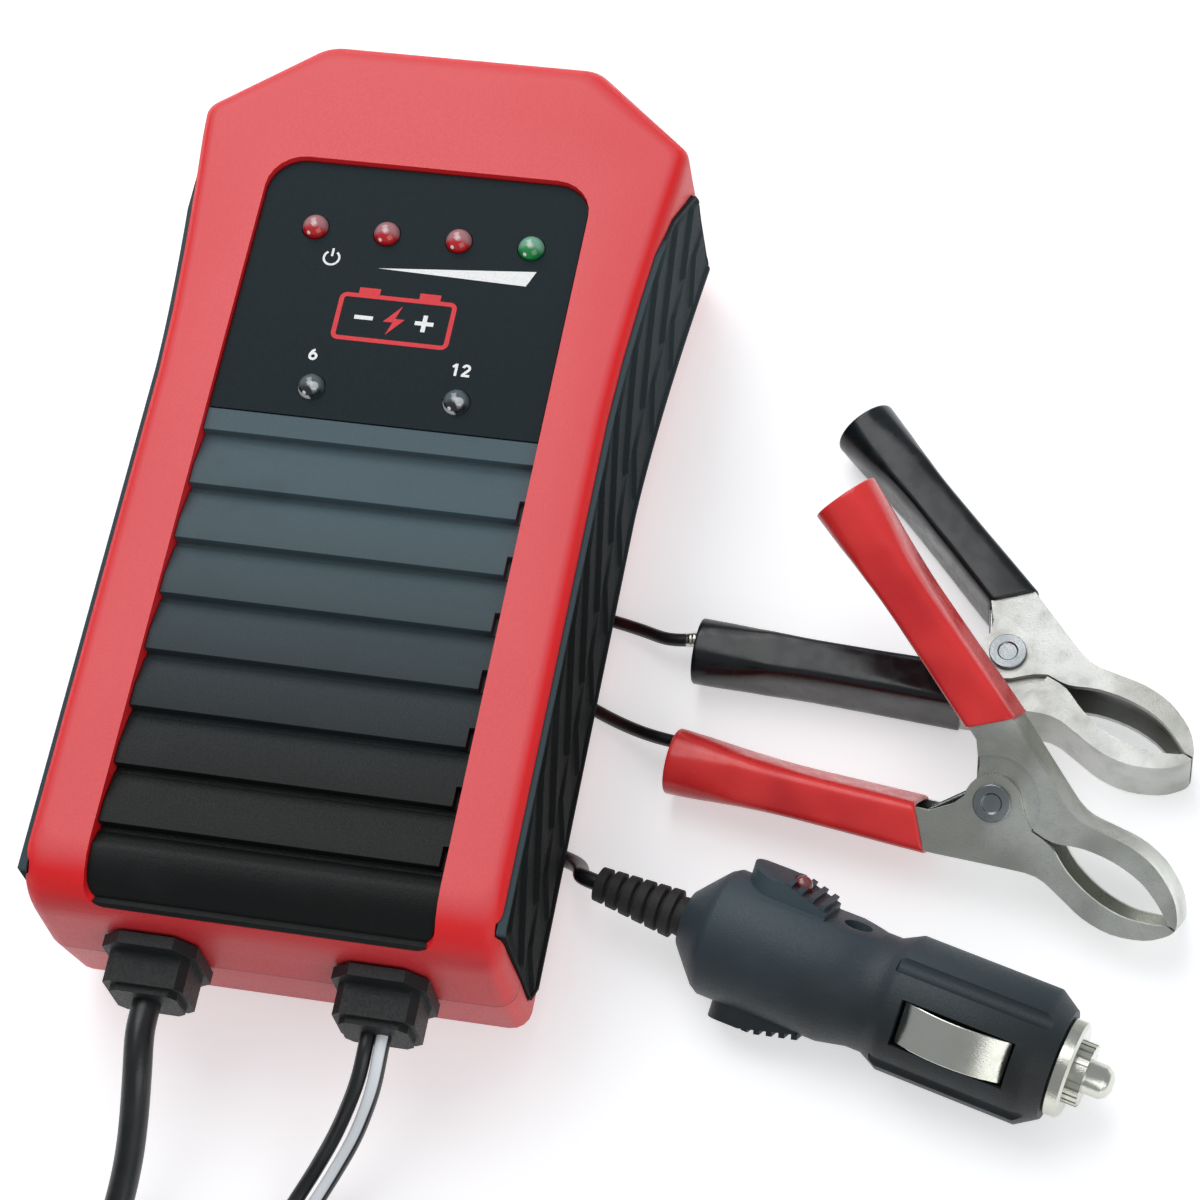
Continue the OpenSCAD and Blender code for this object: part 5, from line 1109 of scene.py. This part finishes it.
def batteryMarks(cell):
    # the battery's outline and its two caps and bolt in the second ink, its minus and plus in the first
    x, y = cell["centre"]
    caps, signs = cell["caps"], cell["signs"]
    above = y + cell["height"] / 2 + caps["above"]
    plus = x + signs["middle"]
    level = [stroke([(x + a, above), (x + b, above)], caps["line"], 1)
             for a, b in ((-caps["to"], -caps["from"]), (caps["from"], caps["to"]))]
    level += [stroke([(x + a, y), (x + b, y)], signs["line"])
              for a, b in ((-signs["to"], -signs["from"]), (signs["from"], signs["to"]))]
    upright = [stroke([(plus, y + a), (plus, y + b)], signs["line"])
               for a, b in ((-signs["reach"], -signs["gap"]), (signs["gap"], signs["reach"]))]
    outline = roundedRing((x, y), cell["width"], cell["height"], cell["corner"], cell["line"], 1)
    return [outline] + level + upright + [slab(np.add(cell["bolt"], (x, y)), 1)]


def addPrint():
    # the wedge, the power mark, the battery and the numbers, in one piece of two inks
    power = labelPrint["power"]
    centre = np.array(power["centre"])
    marks = [
        slab(labelPrint["wedge"]), stroke(arc(centre, power["radius"], *power["ring"], 40), power["line"]),
        stroke([centre + [0, rise] for rise in power["bar"]], power["line"])]
    marks += batteryMarks(labelPrint["battery"])
    for figure, left, foot in labelPrint["numbers"]:
        marks += [stroke(np.add(line, (left, foot)), labelPrint["line"]) for line in figures[figure]]
    inks = [printMaterial("white ink", labelPrint["white"]), printMaterial("red ink", labelPrint["red"])]
    makePiece("labelMarks", marks, inks)


addPrint()
print("label printed")


studio = {
    "half": 3.0, "floor": (236, 237, 239), "glow": 0.46,  # the floor's half width, its colour and its lift
    "sky": (0.93, 0.96, 1.0), "skyLight": 0.38,
}


def paleMaterial():
    # a grey floor that takes shadows, lifted towards white for the camera, gloss and glass
    paint = Paint("pale floor")
    grey = paint.node("ShaderNodeBsdfDiffuse", inputs={"Color": colour(*studio["floor"])})
    glow = paint.node("ShaderNodeEmission", inputs={"Color": (1, 1, 1, 1), "Strength": studio["glow"]})
    lit = paint.node("ShaderNodeAddShader", inputs={0: grey, 1: glow})
    shown = paint.ray("Camera")
    for kind in ("Glossy", "Transmission"):
        shown = shown.maths("MAXIMUM", shown, paint.ray(kind))
    paint.close(paint.node("ShaderNodeMixShader", inputs={0: shown, 1: grey, 2: lit}))
    return paint.material


def addFloor():
    # one wide square at height 0
    half = studio["half"]
    mesh = bpy.data.meshes.new("floor")
    corners = [(-half, -half, 0), (half, -half, 0), (half, half, 0), (-half, half, 0)]
    mesh.from_pydata(corners, [], [(0, 1, 2, 3)])
    mesh.materials.append(paleMaterial())
    floor = bpy.data.objects.new("floor", mesh)
    bpy.context.scene.collection.objects.link(floor)


lights = {
    "overhead": {"at": (-0.3, 0.35, 1.15), "to": (0, 0, 0), "size": 0.9, "power": 6.4},
    "behind": {"at": (-0.5, 1.1, 0.9), "to": (0, 0, 0.03), "size": 0.8, "power": 5.2},
    "front": {"at": (0.8, -0.9, 0.75), "to": (0, 0, 0), "size": 1.0, "power": 4.2},
}


def addLight(name, light):
    # a square lamp that faces its target
    data = bpy.data.lights.new(name, "AREA")
    data.shape = "SQUARE"
    data.size = light["size"]
    data.energy = light["power"]
    back = unit(np.subtract(light["at"], light["to"]))
    across = unit(np.cross([0, 0, 1], back))
    placed(name, data, (across, np.cross(back, across), back), light["at"])


def addWorld():
    # a faint blue sky as light, white where the camera looks past the floor
    world = bpy.data.worlds.new("studio")
    bpy.context.scene.world = world
    world.use_nodes = True
    paint = Paint("studio", world.node_tree)
    sky = paint.node("ShaderNodeBackground", inputs={
        "Color": (*studio["sky"], 1), "Strength": studio["skyLight"]})
    white = paint.node("ShaderNodeBackground", inputs={"Color": (1, 1, 1, 1), "Strength": 1.0})
    seen = paint.node("ShaderNodeMixShader", inputs={0: paint.ray("Camera"), 1: sky, 2: white})
    paint.close(seen, "ShaderNodeOutputWorld")


addFloor()
for lightName, light in lights.items():
    addLight(lightName, light)
addWorld()
bpy.context.scene.view_settings.view_transform = "Standard"
print("floor and light set")
